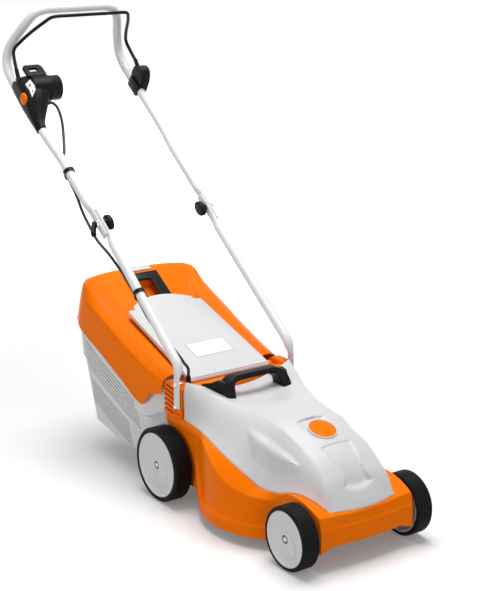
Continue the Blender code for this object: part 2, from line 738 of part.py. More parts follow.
def make_baffle():
    """Front wall of the cutting chamber, which keeps grass off the front axle."""
    outer, inner = BAFFLE_RADIUS, BAFFLE_RADIUS - DECK_WALL
    low, high = SKIRT_Z + 6 * MM, ROOF_Z - DECK_WALL / 2
    rows = []
    for angle in range(-128, -51, 7):
        heading = Vector((math.cos(math.radians(angle)), math.sin(math.radians(angle))))
        rows.append([at(heading.x * radius, CHAMBER_BACK + heading.y * radius, z)
                     for radius, z in ((inner, low), (outer, low), (outer, high), (inner, high))])
    return loft("baffle", rows, ring=True, cap=True)


def make_deck_cutters():
    rear = FRONT_AXLE_Y + DECK_REAR_BACK
    front = FRONT_AXLE_Y + BRIDGE_BACK + BRIDGE_WALL
    half = BRIDGE_HALF_WIDTH - BRIDGE_WALL
    room = block("channel_room", (-half, front, ROOF_Z - 20 * MM),
                 (half, rear - BRIDGE_WALL, BRIDGE_TOP_Z - BRIDGE_WALL))
    mouth = block("channel_mouth", (-MOUTH_HALF_WIDTH, rear - 20 * MM, MOUTH_BOTTOM_Z),
                  (MOUTH_HALF_WIDTH, rear + 20 * MM, MOUTH_TOP_Z))
    shaft = rod("shaft_hole", at(0, CHAMBER_BACK, ROOF_Z - 20 * MM),
                at(0, CHAMBER_BACK, ROOF_Z + 20 * MM), SHAFT_HOLE_RADIUS, sides=24)
    tools = [room, mouth, shaft]
    for back, z in (front_pivot(), rear_pivot()):
        hole = AXLE_RADIUS + RUNNING_GAP
        tools.append(rod("axle_hole", at(-0.2, back, z), at(0.2, back, z), hole))
    tools.append(rod("hinge_pin_hole", at(-0.12, HINGE_BACK, HINGE_Z), at(0.12, HINGE_BACK, HINGE_Z),
                     HINGE_PIN_RADIUS + GAP, sides=12))
    return tools


def make_handle_mount(side, sign):
    """Ribbed block beside the bridge that carries the handle foot."""
    inner, outer = sign * (BRIDGE_HALF_WIDTH + GAP), sign * MOUNT_OUTER_X
    low_z = REAR_TOP_Z + GAP
    front, rear = BRIDGE_BACK / MM, MOUNT_REAR_BACK / MM
    outline = outline_at([(front, low_z / MM), (rear, low_z / MM), (rear, MOUNT_TOP_Z / MM - 6),
                          (rear - 12, MOUNT_TOP_Z / MM), (front + 10, MOUNT_TOP_Z / MM),
                          (front, MOUNT_TOP_Z / MM - 8)])
    mount = plate("handle_mount_" + side, outline, min(inner, outer), max(inner, outer), "orange")
    rib_low = sign * (MOUNT_OUTER_X - 2 * MM)
    rib_high = sign * (MOUNT_OUTER_X + RIB_HEIGHT)
    first_back = FOOT_BACK + 18 * MM
    for index in range(RIB_COUNT):
        z = low_z + 14 * MM + index * RIB_PITCH
        start = (FRONT_AXLE_Y + first_back, z + 4 * MM)
        end = (FRONT_AXLE_Y + MOUNT_REAR_BACK - 5 * MM, z - 4 * MM)
        rib = plate("rib", stadium(start, end, RIB_THICKNESS / 2, 3),
                    min(rib_low, rib_high), max(rib_low, rib_high))
        join(mount, rib)
    for z in FOOT_BOLT_HEIGHTS.values():
        hole = rod("foot_bolt_hole", at(sign * (MOUNT_OUTER_X - FOOT_BOLT_LENGTH), FOOT_BACK, z),
                   at(sign * 0.2, FOOT_BACK, z), FOOT_BOLT_RADIUS + GAP, sides=12)
        cut(mount, hole)
    return mount


# Motor hood, badge and carry handle

def hood_section(station, lift=0.0):
    """Half section of the hood's outer skin, from the middle to the lower edge."""
    back, middle_z, ridge_x, ridge_z, edge_x, edge_z = station
    nose = back == HOOD_STATIONS[0][0]
    bow = HOOD_FRONT_BOW / MM if nose else 0
    corner = HOOD_CORNER / MM if nose else 0
    section = []
    for share in (0, 0.5, 0.85, 1):
        z = middle_z + (ridge_z - middle_z) * share ** 2
        section.append(at_mm(ridge_x * share, back - bow * (1 - share ** 2), z + lift))
    bulge = HOOD_BULGE / MM * min(1, (ridge_z - edge_z) / 60)
    for share in (0.33, 0.67, 1):
        swell = bulge * 4 * share * (1 - share)
        section.append(at_mm(ridge_x + (edge_x - ridge_x) * share + swell,
                             back + corner * share ** 2,
                             ridge_z + (edge_z - ridge_z) * share + swell * 0.6 + lift))
    return section


def make_hood():
    hood = loft("motor_hood", [hood_section(station) for station in HOOD_STATIONS], "light_grey")
    mirror_x(hood)
    thicken(hood, HOOD_WALL)
    cut(hood, make_seat_body())
    return hood


def make_seat_body():
    """Closed band over the deck's seat, lifted by the gap, that trims the hood's lower edge."""
    columns = deck_columns()
    half = []
    for index, column in enumerate(columns):
        seat = Vector(column[-1])
        if index > len(FRONT_COLUMNS) and seat.y > DECK_REAR_BACK / MM - 2:
            break
        into = inward(columns, index)
        outer, inner = seat.to_2d() - into * 5, seat.to_2d() + into * 9
        high, low = seat.z + GAP / MM, seat.z - 30
        half.append([at_mm(point.x, point.y, z) for point, z in
                     ((outer, low), (inner, low), (inner, high), (outer, high))])
    rows = [[Vector((-p.x, p.y, p.z)) for p in corners] for corners in reversed(half[1:])] + half
    return loft("hood_edge_trim", rows, ring=True, cap=True)


def hood_body(name, first_back, last_back):
    """Closed block under the hood's skin, lifted by the gap, that trims what sits on the hood."""
    rows = []
    for station in HOOD_STATIONS:
        if first_back <= station[0] <= last_back:
            half = hood_section(station, GAP / MM)
            mirrored = [Vector((-point.x, point.y, point.z)) for point in reversed(half[1:])]
            floor_z = 60 * MM
            ends = [Vector((half[-1].x, half[-1].y, floor_z)),
                    Vector((-half[-1].x, half[-1].y, floor_z))]
            rows.append(mirrored + half + ends)
    return loft(name, rows, ring=True, cap=True)


def hood_middle(back):
    return between(HOOD_STATIONS, back, 1)


def make_badge():
    """Blank round badge that lies on the hood's nose."""
    back = BADGE_BACK / MM
    slope = math.atan2(hood_middle(back + 30) - hood_middle(back - 30), 60)
    badge = turned("hood_badge", [(0, BADGE_THICKNESS), (BADGE_RADIUS - 2 * MM, BADGE_THICKNESS),
                                  (BADGE_RADIUS, BADGE_THICKNESS - 1 * MM),
                                  (BADGE_RADIUS, -8 * MM), (0, -8 * MM)],
                   at_mm(0, back, hood_middle(back)), "Z", 28, "orange", closed=False)
    badge.rotation_euler = (slope, 0, 0)
    cut(badge, hood_body("badge_trim", 30, 193))
    return badge


def make_carry_handle():
    rows = []
    half = []
    for index, (x, back, z, depth, thick) in enumerate(CARRY_SECTIONS):
        before = CARRY_SECTIONS[max(index - 1, 0)]
        after = CARRY_SECTIONS[min(index + 1, len(CARRY_SECTIONS) - 1)]
        run = Vector((after[0] - before[0], after[2] - before[2])).normalized()
        out = Vector((-run.y, run.x))
        corners = []
        for along, across in ((-1, -0.6), (-1, 0.6), (-0.75, 1), (0.75, 1), (1, 0.6), (1, -0.6),
                              (0.75, -1), (-0.75, -1)):
            corners.append(at_mm(x + out.x * across * thick / 2, back + along * depth / 2,
                                 z + out.y * across * thick / 2))
        half.append(corners)
    for corners in reversed(half[1:]):
        rows.append([Vector((-point.x, point.y, point.z)) for point in corners])
    rows += half
    handle = loft("carry_handle", rows, "black", ring=True, cap=True)
    cut(handle, hood_body("carry_trim", 230, 385))
    return handle


# Discharge flap

def flap_top(back):
    return FLAP_FRONT_Z + FLAP_SLOPE * (back - FLAP_FRONT_BACK)


def make_flap():
    rows = []
    steps = 8
    for step in range(steps + 1):
        share = step / steps
        half_width = FLAP_HALF_WIDTH + (FLAP_REAR_HALF_WIDTH - FLAP_HALF_WIDTH) * share
        row = []
        for across in (0, 0.35, 0.7, 0.97, 1):
            rear = FLAP_REAR_BACK + FLAP_BOW * (1 - across ** 2)
            back = FLAP_FRONT_BACK + share * (rear - FLAP_FRONT_BACK)
            drop = 1.5 * MM if across == 1 else 0
            crown = FLAP_CROWN * (1 - across ** 2) * share
            row.append(at(across * half_width, back, flap_top(back) + crown - drop))
        side_back = FLAP_FRONT_BACK + share * (FLAP_REAR_BACK - FLAP_FRONT_BACK)
        row.append(at(half_width, side_back, flap_top(side_back) - FLAP_SIDE_DEPTH))
        rows.append(row)
    flap = loft("discharge_flap", rows, "light_grey")
    mirror_x(flap)
    thicken(flap, FLAP_WALL)
    end = EAR_INNER_X - RUNNING_GAP
    join(flap, rod("flap_barrel", at(-end, HINGE_BACK, HINGE_Z), at(end, HINGE_BACK, HINGE_Z),
                   HINGE_BARREL_RADIUS))
    cut(flap, rod("flap_bore", at(-0.12, HINGE_BACK, HINGE_Z), at(0.12, HINGE_BACK, HINGE_Z),
                  HINGE_PIN_RADIUS + GAP, sides=12))
    return flap


def make_hinge_pin():
    end = EAR_INNER_X + EAR_THICKNESS
    return rod("flap_hinge_pin", at(-end, HINGE_BACK, HINGE_Z), at(end, HINGE_BACK, HINGE_Z),
               HINGE_PIN_RADIUS, "steel", sides=12)


# Grass box

def lid_section(station):
    back, middle_z, shoulder_z, ridge_x, ridge_z, skirt_x, skirt_z = station
    shoulder_x = min(LID_SHOULDER_X / MM, ridge_x - 30)
    return [at_mm(0, back, middle_z), at_mm(shoulder_x * 0.6, back, middle_z),
            at_mm(shoulder_x - 6, back, middle_z), at_mm(shoulder_x, back, shoulder_z),
            at_mm((shoulder_x + ridge_x) / 2, back, (shoulder_z + ridge_z) / 2 + 2),
            at_mm(ridge_x, back, ridge_z),
            at_mm((ridge_x + skirt_x) / 2 + 1, back, (ridge_z + skirt_z) / 2),
            at_mm(skirt_x, back, skirt_z)]


def make_lid():
    rows = [lid_section(station) for station in LID_STATIONS]
    last = rows[-1]
    drop_y = FRONT_AXLE_Y + LID_REAR_DROP_BACK
    rows.append([Vector((point.x, drop_y, LID_REAR_BOTTOM_Z + (last[-1].x - point.x) * 0.03))
                 for point in last])
    lid = loft("grass_box_lid", rows, "orange")
    mirror_x(lid)
    thicken(lid, LID_WALL)
    pocket = POCKET_HALF_WIDTH
    rear = GRIP_REAR_BACK - 6 * MM
    join(lid, lid_slab("pocket_wall", GRIP_FRONT_BACK, rear, -POCKET_DEPTH - LID_WALL,
                       -LID_WALL / 2, pocket + LID_WALL))
    cut(lid, lid_slab("pocket_room", GRIP_FRONT_BACK + LID_WALL, rear - LID_WALL, -POCKET_DEPTH,
                      20 * MM, pocket))
    return lid


def lid_slab(name, front, rear, low, high, half_width, finish=TOOL):
    """Slab parallel to the lid's top under the grip, between two lifts above it."""
    slope = (lid_top(GRIP_REAR_BACK - 6 * MM) - lid_top(GRIP_FRONT_BACK))
    slope /= GRIP_REAR_BACK - 6 * MM - GRIP_FRONT_BACK
    outline = [(FRONT_AXLE_Y + back, lid_top(GRIP_FRONT_BACK) + slope * (back - GRIP_FRONT_BACK) + lift)
               for back, lift in ((front, low), (rear, low), (rear, high), (front, high))]
    return plate(name, outline, -half_width, half_width, finish)


def basket_section(station):
    bottom_back, top_back, bottom_x, bottom_z, top_x, top_z = station

    def point(x, z):
        share = (z - bottom_z) / (top_z - bottom_z)
        return at_mm(x, bottom_back + (top_back - bottom_back) * share, z)

    knee_z = bottom_z + (top_z - bottom_z) * BASKET_KNEE
    knee_x = bottom_x + (top_x - bottom_x) * 0.72
    return [point(0, bottom_z), point(bottom_x * 0.6, bottom_z), point(bottom_x - 5, bottom_z),
            point(bottom_x, bottom_z + 6), point(knee_x, knee_z), point(top_x - 1, knee_z + 6),
            point(top_x, top_z)]


def make_basket():
    rows = [basket_section(station) for station in BASKET_STATIONS]
    last = rows[-1]
    top = last[-1]
    rows.append([Vector((min(point.x, top.x - 2 * MM), top.y + 3 * MM, top.z)) for point in last])
    rows = [list(reversed(row)) for row in rows]
    basket = loft("grass_box_basket", rows, "basket_grey")
    mirror_x(basket)
    thicken(basket, BASKET_WALL)
    slope = math.radians(SLOT_SLOPE)
    for back, z, length, pitch in SLOT_GROUPS:
        for index in range(SLOT_COUNT):
            slot = block("slot", (-0.2, -length * MM / 2, -SLOT_HEIGHT / 2),
                         (0.2, length * MM / 2, SLOT_HEIGHT / 2))
            slot.location = at_mm(0, back, z - index * pitch)
            slot.rotation_euler = (slope, 0, 0)
            cut(basket, slot)
    return basket


def lid_top(back):
    return between(LID_STATIONS, back / MM, 1) * MM


def make_grip():
    """Black pull grip on the lid, a plate with a finger slot."""
    lift = GRIP_LIFT
    grip = lid_slab("grass_box_grip", GRIP_FRONT_BACK, GRIP_REAR_BACK, lift, lift + GRIP_THICKNESS,
                    GRIP_HALF_WIDTH, "black")
    cut(grip, lid_slab("grip_slot", GRIP_FRONT_BACK - 20 * MM, GRIP_REAR_BACK - GRIP_BAR, -20 * MM,
                       40 * MM, GRIP_SLOT_HALF_WIDTH))
    return grip


def make_indicator():
    """Small flap on the lid that the air stream lifts while the box has room."""
    front, rear = INDICATOR_BACK, INDICATOR_BACK + INDICATOR_LENGTH
    front_z, rear_z = lid_top(front) + INDICATOR_LIFT, lid_top(rear) + INDICATOR_LIFT
    thick = INDICATOR_THICKNESS
    outline = [(FRONT_AXLE_Y + front, front_z), (FRONT_AXLE_Y + rear, rear_z),
               (FRONT_AXLE_Y + rear, rear_z + thick), (FRONT_AXLE_Y + front, front_z + thick)]
    return plate("level_indicator", outline, -INDICATOR_HALF_WIDTH, INDICATOR_HALF_WIDTH,
                 "light_grey")


# Motor and blade

def axis_ring(name, outer, inner, low, high, finish, sides=24):
    """Ring about the blade axis; with no bore it is a disc."""
    centre = at(0, CHAMBER_BACK, 0)
    if inner == 0:
        return turned(name, [(0, high), (outer, high), (outer, low), (0, low)], centre, "Z", sides,
                      finish, closed=False)
    return turned(name, [(outer, high), (outer, low), (inner, low), (inner, high)], centre, "Z",
                  sides, finish)


def make_motor():
    low = ROOF_Z + GAP
    inner = MOTOR_RADIUS - MOTOR_WALL
    hole = BEARING_RADIUS + GAP
    under = MOTOR_TOP_Z - MOTOR_WALL
    can = turned("motor_can", [(hole, MOTOR_TOP_Z), (MOTOR_RADIUS - 4 * MM, MOTOR_TOP_Z),
                               (MOTOR_RADIUS, MOTOR_TOP_Z - 4 * MM), (MOTOR_RADIUS, low),
                               (inner, low), (inner, under), (hole, under)],
                 at(0, CHAMBER_BACK, 0), "Z", 32, "dark_grey")
    stator = axis_ring("stator", inner - GAP, ROTOR_RADIUS + RUNNING_GAP, STATOR_BOTTOM_Z,
                       STATOR_TOP_Z, "copper", 32)
    lower = axis_ring("lower_bearing", SHAFT_HOLE_RADIUS - 2 * GAP, SHAFT_RADIUS + RUNNING_GAP,
                      ROOF_Z - BEARING_HEIGHT / 2, ROOF_Z + BEARING_HEIGHT / 2, "steel")
    upper = axis_ring("upper_bearing", BEARING_RADIUS, SHAFT_RADIUS + RUNNING_GAP,
                      MOTOR_TOP_Z - BEARING_HEIGHT + 2 * MM, MOTOR_TOP_Z + 2 * MM, "steel")
    return can, stator, lower, upper


def make_rotor():
    seat = SHAFT_RADIUS + GAP
    rotor = axis_ring("rotor", ROTOR_RADIUS, seat, STATOR_BOTTOM_Z, STATOR_TOP_Z, "steel", 32)
    shaft_low = CARRIER_BOTTOM_Z + 2 * MM
    shaft_high = MOTOR_TOP_Z + 5 * MM + FAN_HEIGHT
    bore = BLADE_BOLT_RADIUS + GAP
    shaft = turned("motor_shaft", [(0, shaft_high), (SHAFT_RADIUS, shaft_high),
                                   (SHAFT_RADIUS, shaft_low), (bore, shaft_low),
                                   (bore, shaft_low + 22 * MM), (0, shaft_low + 22 * MM)],
                   at(0, CHAMBER_BACK, 0), "Z", 16, "steel", closed=False)
    fan_low = MOTOR_TOP_Z + 4 * MM
    fan = turned("cooling_fan", [(FAN_RADIUS, fan_low + 2 * MM), (FAN_RADIUS, fan_low),
                                 (seat, fan_low), (seat, fan_low + FAN_HEIGHT),
                                 (13 * MM, fan_low + FAN_HEIGHT), (14 * MM, fan_low + 2 * MM)],
                 at(0, CHAMBER_BACK, 0), "Z", 24, "black")
    for index in range(FAN_BLADES):
        angle = 2 * math.pi * index / FAN_BLADES
        heading = Vector((math.cos(angle), math.sin(angle)))
        side = Vector((-heading.y, heading.x)) * MM
        centre = at(0, CHAMBER_BACK, 0)
        rows = []
        for radius in (11 * MM, FAN_RADIUS - 3 * MM):
            foot = centre + Vector((heading.x, heading.y, 0)) * radius
            rows.append([Vector((foot.x + side.x * s, foot.y + side.y * s, z))
                         for s, z in ((-1, fan_low + 1 * MM), (1, fan_low + 1 * MM),
                                      (1, fan_low + FAN_HEIGHT - 1 * MM),
                                      (-1, fan_low + FAN_HEIGHT - 1 * MM))])
        join(fan, loft("fan_blade", rows, ring=True, cap=True))
    return rotor, shaft, fan


def make_blade_set():
    seat = SHAFT_RADIUS + GAP
    flange_top = CARRIER_BOTTOM_Z + CARRIER_FLANGE
    carrier = turned("blade_carrier", [(14 * MM, CARRIER_TOP_Z), (14 * MM, flange_top),
                                       (CARRIER_RADIUS, flange_top),
                                       (CARRIER_RADIUS, CARRIER_BOTTOM_Z),
                                       (seat, CARRIER_BOTTOM_Z), (seat, CARRIER_TOP_Z)],
                     at(0, CHAMBER_BACK, 0), "Z", 20, "black")
    blade = make_blade()
    head_top = BLADE_TOP_Z - BLADE_THICKNESS - GAP
    bolt = turned("blade_bolt", [(0, CARRIER_BOTTOM_Z + 20 * MM),
                                 (BLADE_BOLT_RADIUS, CARRIER_BOTTOM_Z + 20 * MM),
                                 (BLADE_BOLT_RADIUS, head_top), (14 * MM, head_top),
                                 (14 * MM, head_top - 2 * MM), (8.5 * MM, head_top - 2 * MM),
                                 (8.5 * MM, head_top - 7 * MM), (0, head_top - 7 * MM)],
                  at(0, CHAMBER_BACK, 0), "Z", 12, "steel", closed=False)
    return carrier, blade, bolt


def make_blade():
    """Flat steel bar whose trailing edges turn up at the tips."""
    half, wide = BLADE_LENGTH / 2, BLADE_WIDTH / 2
    low, high = BLADE_TOP_Z - BLADE_THICKNESS, BLADE_TOP_Z
    rows = []
    for share in (-1, -0.72, -0.6, 0.6, 0.72, 1):
        x = share * half
        lift = BLADE_LIFT if abs(share) > 0.7 else 0
        trail = 1 if x > 0 else -1
        rows.append([at(x, CHAMBER_BACK + y, z + (lift if y * trail > wide * 0.9 else 0))
                     for y, z in ((-wide, low), (-wide * 0.35, low), (wide * 0.35, low), (wide, low),
                                  (wide, high), (wide * 0.35, high), (-wide * 0.35, high),
                                  (-wide, high))])
    blade = loft("mower_blade", rows, "steel", ring=True, cap=True)
    cut(blade, rod("blade_hole", at(0, CHAMBER_BACK, low - 10 * MM), at(0, CHAMBER_BACK, high + 10 * MM),
                   BLADE_BOLT_RADIUS + GAP, sides=12))
    return blade


# Wheels and axles

def front_pivot():
    """Back and height of the front axle's pivot in the deck."""
    return FRONT_WHEEL_BACK + CRANK_REACH, FRONT_WHEEL_RADIUS - CRANK_DROP


def rear_pivot():
    return REAR_WHEEL_BACK - CRANK_REACH, REAR_WHEEL_RADIUS - CRANK_DROP


def make_wheel(name, sign, back, radius, width, outer_x, tyre_depth):
    """Tyre, rim and hub cap about the wheel's own axis; height runs outwards."""
    half = width / 2
    centre = at(sign * (outer_x - half), back, radius)
    inner = radius - tyre_depth
    cut_in = TYRE_SHOULDER
    tyre = turned("tyre_" + name, [(inner, half), (radius - cut_in, half), (radius, half - cut_in),
                                   (radius, cut_in - half), (radius - cut_in, -half),
                                   (inner, -half)], centre, "X", WHEEL_SIDES, "rubber")
    rim_radius = inner - GAP
    lip, face = half - 1 * MM, half - 1 * MM - RIM_DISH
    bore = AXLE_RADIUS + GAP
    rim = turned("rim_" + name, [(rim_radius, lip), (rim_radius, -half + 1 * MM),
                                 (rim_radius - RIM_WALL, -half + 1 * MM),
                                 (rim_radius - RIM_WALL, face - RIM_WALL),
                                 (HUB_RADIUS, face - RIM_WALL), (HUB_RADIUS, 2 * MM - half),
                                 (bore, 2 * MM - half), (bore, face),
                                 (rim_radius - RIM_WALL - 4 * MM, face),
                                 (rim_radius - RIM_WALL, lip)], centre, "X", WHEEL_SIDES,
                 "light_grey")
    cap_low = face + GAP
    cap = turned("hub_cap_" + name, [(0, cap_low + HUB_CAP_THICKNESS),
                                     (HUB_CAP_RADIUS - 2 * MM, cap_low + HUB_CAP_THICKNESS),
                                     (HUB_CAP_RADIUS, cap_low), (0, cap_low)],
                 centre, "X", 16, "dark_grey", closed=False)
    for obj in (tyre, rim, cap):
        if sign < 0:
            obj.rotation_euler = (0, math.radians(-90), 0)
    hang_on("axis_" + name, centre, tyre, rim, cap)
    return centre


def make_axle(name, pivot, wheel_back, wheel_z, wall_x, wheel_outer_x, width):
    """Cranked axle: a rod through the deck, an arm at each end and a stub for each wheel."""
    back, z = pivot
    inner_x = wall_x + RUNNING_GAP
    axle = rod(name, at(-inner_x - 1 * MM, back, z), at(inner_x + 1 * MM, back, z), AXLE_RADIUS,
               "steel")
    stub_end = wheel_outer_x - 1 * MM - RIM_DISH - RIM_WALL / 2
    for sign in SIDES.values():
        near, far = sign * inner_x, sign * (inner_x + CRANK_THICKNESS)
        arm = plate("crank_arm", stadium((FRONT_AXLE_Y + back, z),
                                         (FRONT_AXLE_Y + wheel_back, wheel_z), CRANK_HALF_WIDTH, 5),
                    min(near, far), max(near, far))
        stub = rod("axle_stub", at(near + sign * 1 * MM, wheel_back, wheel_z),
                   at(sign * stub_end, wheel_back, wheel_z), AXLE_RADIUS)
        join(axle, arm, stub)
    hang_on(name + "_pivot", at(0, back, z), axle)
    return axle


# Handle tubes

def flatten_end(obj, start, toward, middle_x, thickness, sign, run=None):
    """Squash a tube across X beyond a point, easing in over a short run."""
    run = CRIMP_RUN if run is None else run
    heading = (toward - start).normalized()
    for vertex in obj.data.vertices:
        if vertex.co.x * sign < 0:
            continue
        along = (vertex.co - start).dot(heading)
        share = min(max(along / run, 0), 1)
        share = share * share * (3 - 2 * share)
        if share > 0:
            squash = 1 + (thickness / (2 * TUBE_RADIUS) - 1) * share
            tube_x = sign * tube_middle(obj.name, vertex.co)
            flat_x = tube_x + (sign * middle_x - tube_x) * share
            vertex.co.x = flat_x + (vertex.co.x - tube_x) * squash


def tube_middle(name, place):
    """Distance of a handle tube's centre line from the middle plane at a place."""
    path = UPPER_ARM if name == "upper_handle" else LOWER_ARM
    nearest = min(range(len(path) - 1), key=lambda i: (mid(path, i) - flat(place)).length)
    return (path[nearest].x + path[nearest + 1].x) / 2


def flat(point):
    return Vector((point.y, point.z))


def mid(path, i):
    return (flat(path[i]) + flat(path[i + 1])) / 2


def arm_direction():
    """Unit vector up along the handle at the fold."""
    foot = Vector((FOOT_BACK, FOOT_TOP_Z))
    fold = Vector((FOLD_BACK, FOLD_Z))
    run = (fold - foot).normalized()
    return Vector((0, run.x, run.y))


FOLD = at(0, FOLD_BACK, FOLD_Z)
ARM = arm_direction()
LOWER_BEND = at(LOWER_TUBE_X, FOOT_BACK, FOOT_TOP_Z)


def lower_arm_path():
    """Centre line of the left lower tube, from the foot to its end past the fold."""
    bottom = at(LOWER_TUBE_X, FOOT_BACK, FOOT_BOTTOM_Z + 8 * MM)
    points = [bottom]
    for height in (0.4, 0.8):
        points.append(bottom.lerp(LOWER_BEND, height))
    points.append(LOWER_BEND + Vector((0, 2 * MM, 6 * MM)))
    points.append(LOWER_BEND + Vector((0, 16 * MM, 20 * MM)))
    last = Vector((LOWER_END_X, FOLD.y, FOLD.z)) + ARM * CRIMP_LENGTH
    start = LOWER_BEND + Vector((0, 16 * MM, 20 * MM))
    for share in (0.12, 0.4, 0.62, 0.76, 0.82, 0.87, 0.92, 0.96, 1):
        points.append(start.lerp(last, share))
    return points


def upper_arm_path():
    """Centre line of the left upper arm, from the loop's middle to its end below the fold."""
    half = [Vector((point.x, point.y + FRONT_AXLE_Y, point.z)) for point in HANDLE_HALF]
    last = Vector((UPPER_END_X, FOLD.y, FOLD.z)) - ARM * CRIMP_LENGTH
    start = half[-1]
    for share in (0.25, 0.5, 0.6, 0.68, 0.76, 0.84, 0.92, 1):
        half.append(start.lerp(last, share))
    return half


def mirrored(points):
    return [Vector((-point.x, point.y, point.z)) for point in points]


LOWER_ARM = lower_arm_path()
UPPER_ARM = upper_arm_path()
HANDLE_PATH = list(reversed(mirrored(UPPER_ARM[1:]))) + UPPER_ARM


def on_arm(path, back):
    """Point on the straight part of an arm's centre line, at a length back from the front axle."""
    y = FRONT_AXLE_Y + back
    for near, far in zip(path[:-1], path[1:]):
        low, high = sorted((near.y, far.y))
        if low <= y <= high and high - low > 1 * MM and near.z < 0.8:
            return near.lerp(far, (y - near.y) / (far.y - near.y))
    raise ValueError("the arm does not reach this far")


def bolt_hole(name, x_low, x_high, back, z, radius):
    return rod(name, at(x_low, back, z), at(x_high, back, z), radius + GAP, sides=12)


def make_lower_tube(side, sign):
    path = LOWER_ARM if sign > 0 else mirrored(LOWER_ARM)
    arm = tube("lower_handle_" + side, path, TUBE_RADIUS, "white_tube", 4)
    top = Vector((0, FOLD.y, FOLD.z)) - ARM * (CRIMP_LENGTH + CRIMP_RUN)
    flatten_end(arm, top, top + ARM, LOWER_END_X, CRIMP_THICKNESS, sign)
    bend = Vector((0, LOWER_BEND.y, LOWER_BEND.z))
    flatten_end(arm, bend, bend - Vector((0, 0, 1)), FOOT_X, FOOT_THICKNESS, sign, 20 * MM)
    cut(arm, bolt_hole("fold_hole", sign * 0.1, sign * 0.2, FOLD_BACK, FOLD_Z, FOLD_BOLT_RADIUS))
    for z in FOOT_BOLT_HEIGHTS.values():
        cut(arm, bolt_hole("foot_hole", sign * 0.1, sign * 0.2, FOOT_BACK, z, FOOT_BOLT_RADIUS))
    return arm


def make_upper_handle():
    handle = tube("upper_handle", HANDLE_PATH, TUBE_RADIUS, "white_tube", 4)
    start = Vector((0, FOLD.y, FOLD.z)) + ARM * (CRIMP_LENGTH + CRIMP_RUN)
    for sign in SIDES.values():
        flatten_end(handle, start, start - ARM, UPPER_END_X, CRIMP_THICKNESS, sign)
        cut(handle, bolt_hole("fold_hole", sign * 0.1, sign * 0.2, FOLD_BACK, FOLD_Z,
                              FOLD_BOLT_RADIUS))
    return handle


def make_foot_bolt(name, sign, z):
    """Screw through the flattened foot into the mount; height runs outwards from the foot."""
    face = FOOT_X + FOOT_THICKNESS / 2 + GAP
    bolt = turned(name, [(0, 4 * MM), (4 * MM, 4 * MM), (6 * MM, 1.5 * MM), (6 * MM, 0),
                         (FOOT_BOLT_RADIUS, 0), (FOOT_BOLT_RADIUS, -FOOT_BOLT_LENGTH),
                         (0, -FOOT_BOLT_LENGTH)],
                  at(sign * face, FOOT_BACK, z), "X", 12, "steel", closed=False)
    bolt.rotation_euler = (0, math.radians(90 * sign), 0)
    return bolt


def make_fold_bolt(side, sign):
    """Bolt through both flattened tube ends; its head is outside, its knob inside."""
    face = UPPER_END_X + CRIMP_THICKNESS / 2 + GAP
    length = face - (LOWER_END_X - CRIMP_THICKNESS / 2) + KNOB_THICKNESS * 0.6
    bolt = turned("fold_bolt_" + side, [(0, FOLD_HEAD), (6 * MM, FOLD_HEAD), (9 * MM, 2 * MM),
                                        (9 * MM, 0), (FOLD_BOLT_RADIUS, 0),
                                        (FOLD_BOLT_RADIUS, -length), (0, -length)],
                  at(sign * face, FOLD_BACK, FOLD_Z), "X", 16, "steel", closed=False)
    bolt.rotation_euler = (0, math.radians(90 * sign), 0)
    return bolt


def make_knob(side, sign):
    """Oval clamping knob inside the handle."""
    near = LOWER_END_X - CRIMP_THICKNESS / 2 - RUNNING_GAP
    boss = near - 6 * MM
    far = boss - KNOB_THICKNESS
    tilt = math.atan2(ARM.z, ARM.y)
    outline = ellipse(FOLD.y, FOLD.z, KNOB_HALF_LENGTH, KNOB_HALF_WIDTH, tilt)
    knob = plate("fold_knob_" + side, outline, min(sign * far, sign * boss),
                 max(sign * far, sign * boss), "black")
    round_edges(knob, 3 * MM)
    join(knob, rod("knob_boss", at(sign * (boss - 3 * MM), FOLD_BACK, FOLD_Z),
                   at(sign * near, FOLD_BACK, FOLD_Z), 9 * MM))
    cut(knob, rod("knob_bore", at(sign * (near - KNOB_THICKNESS), FOLD_BACK, FOLD_Z),
                  at(sign * 0.2, FOLD_BACK, FOLD_Z), FOLD_BOLT_RADIUS + RUNNING_GAP, sides=16))
    hang_on("knob_axis_" + side, at(sign * far, FOLD_BACK, FOLD_Z), knob)
    return knob


# Bail, switch box and bracket

def make_bail():
    half = [Vector((p.x, p.y + FRONT_AXLE_Y, p.z)) for p in handle_half(BAIL_LOOP, 1)]
    pivot = at(BAIL_PIVOT_X, BAIL_PIVOT_BACK, BAIL_PIVOT_Z)
    half += [half[-1].lerp(pivot, 0.5), pivot]
    loop = list(reversed(mirrored(half[1:]))) + half
    bail = tube("bail", loop, BAIL_RADIUS, "black", 2)
    for sign in SIDES.values():
        x = sign * BAIL_PIVOT_X
        join(bail, rod("bail_boss", at(x - BAIL_BOSS_LENGTH / 2, BAIL_PIVOT_BACK, BAIL_PIVOT_Z),
                       at(x + BAIL_BOSS_LENGTH / 2, BAIL_PIVOT_BACK, BAIL_PIVOT_Z),
                       BAIL_BOSS_RADIUS))
        top = Vector((-sign * loop[2].x, loop[2].y, loop[2].z))
        foot = at(x, BAIL_PIVOT_BACK, BAIL_PIVOT_Z)
        reach = foot + (top - foot).normalized() * BAIL_SLEEVE_LENGTH
        join(bail, rod("bail_sleeve", foot.lerp(reach, 0.22), reach, BAIL_SLEEVE_RADIUS))
    hang_on("bail_axis", at(0, BAIL_PIVOT_BACK, BAIL_PIVOT_Z), bail)
    return bail


def arm_channel():
    """Cutter for the handle arms through the housings that are clamped round them."""
    return tube("arm_channel", HANDLE_PATH, TUBE_RADIUS + GAP, resolution=4)


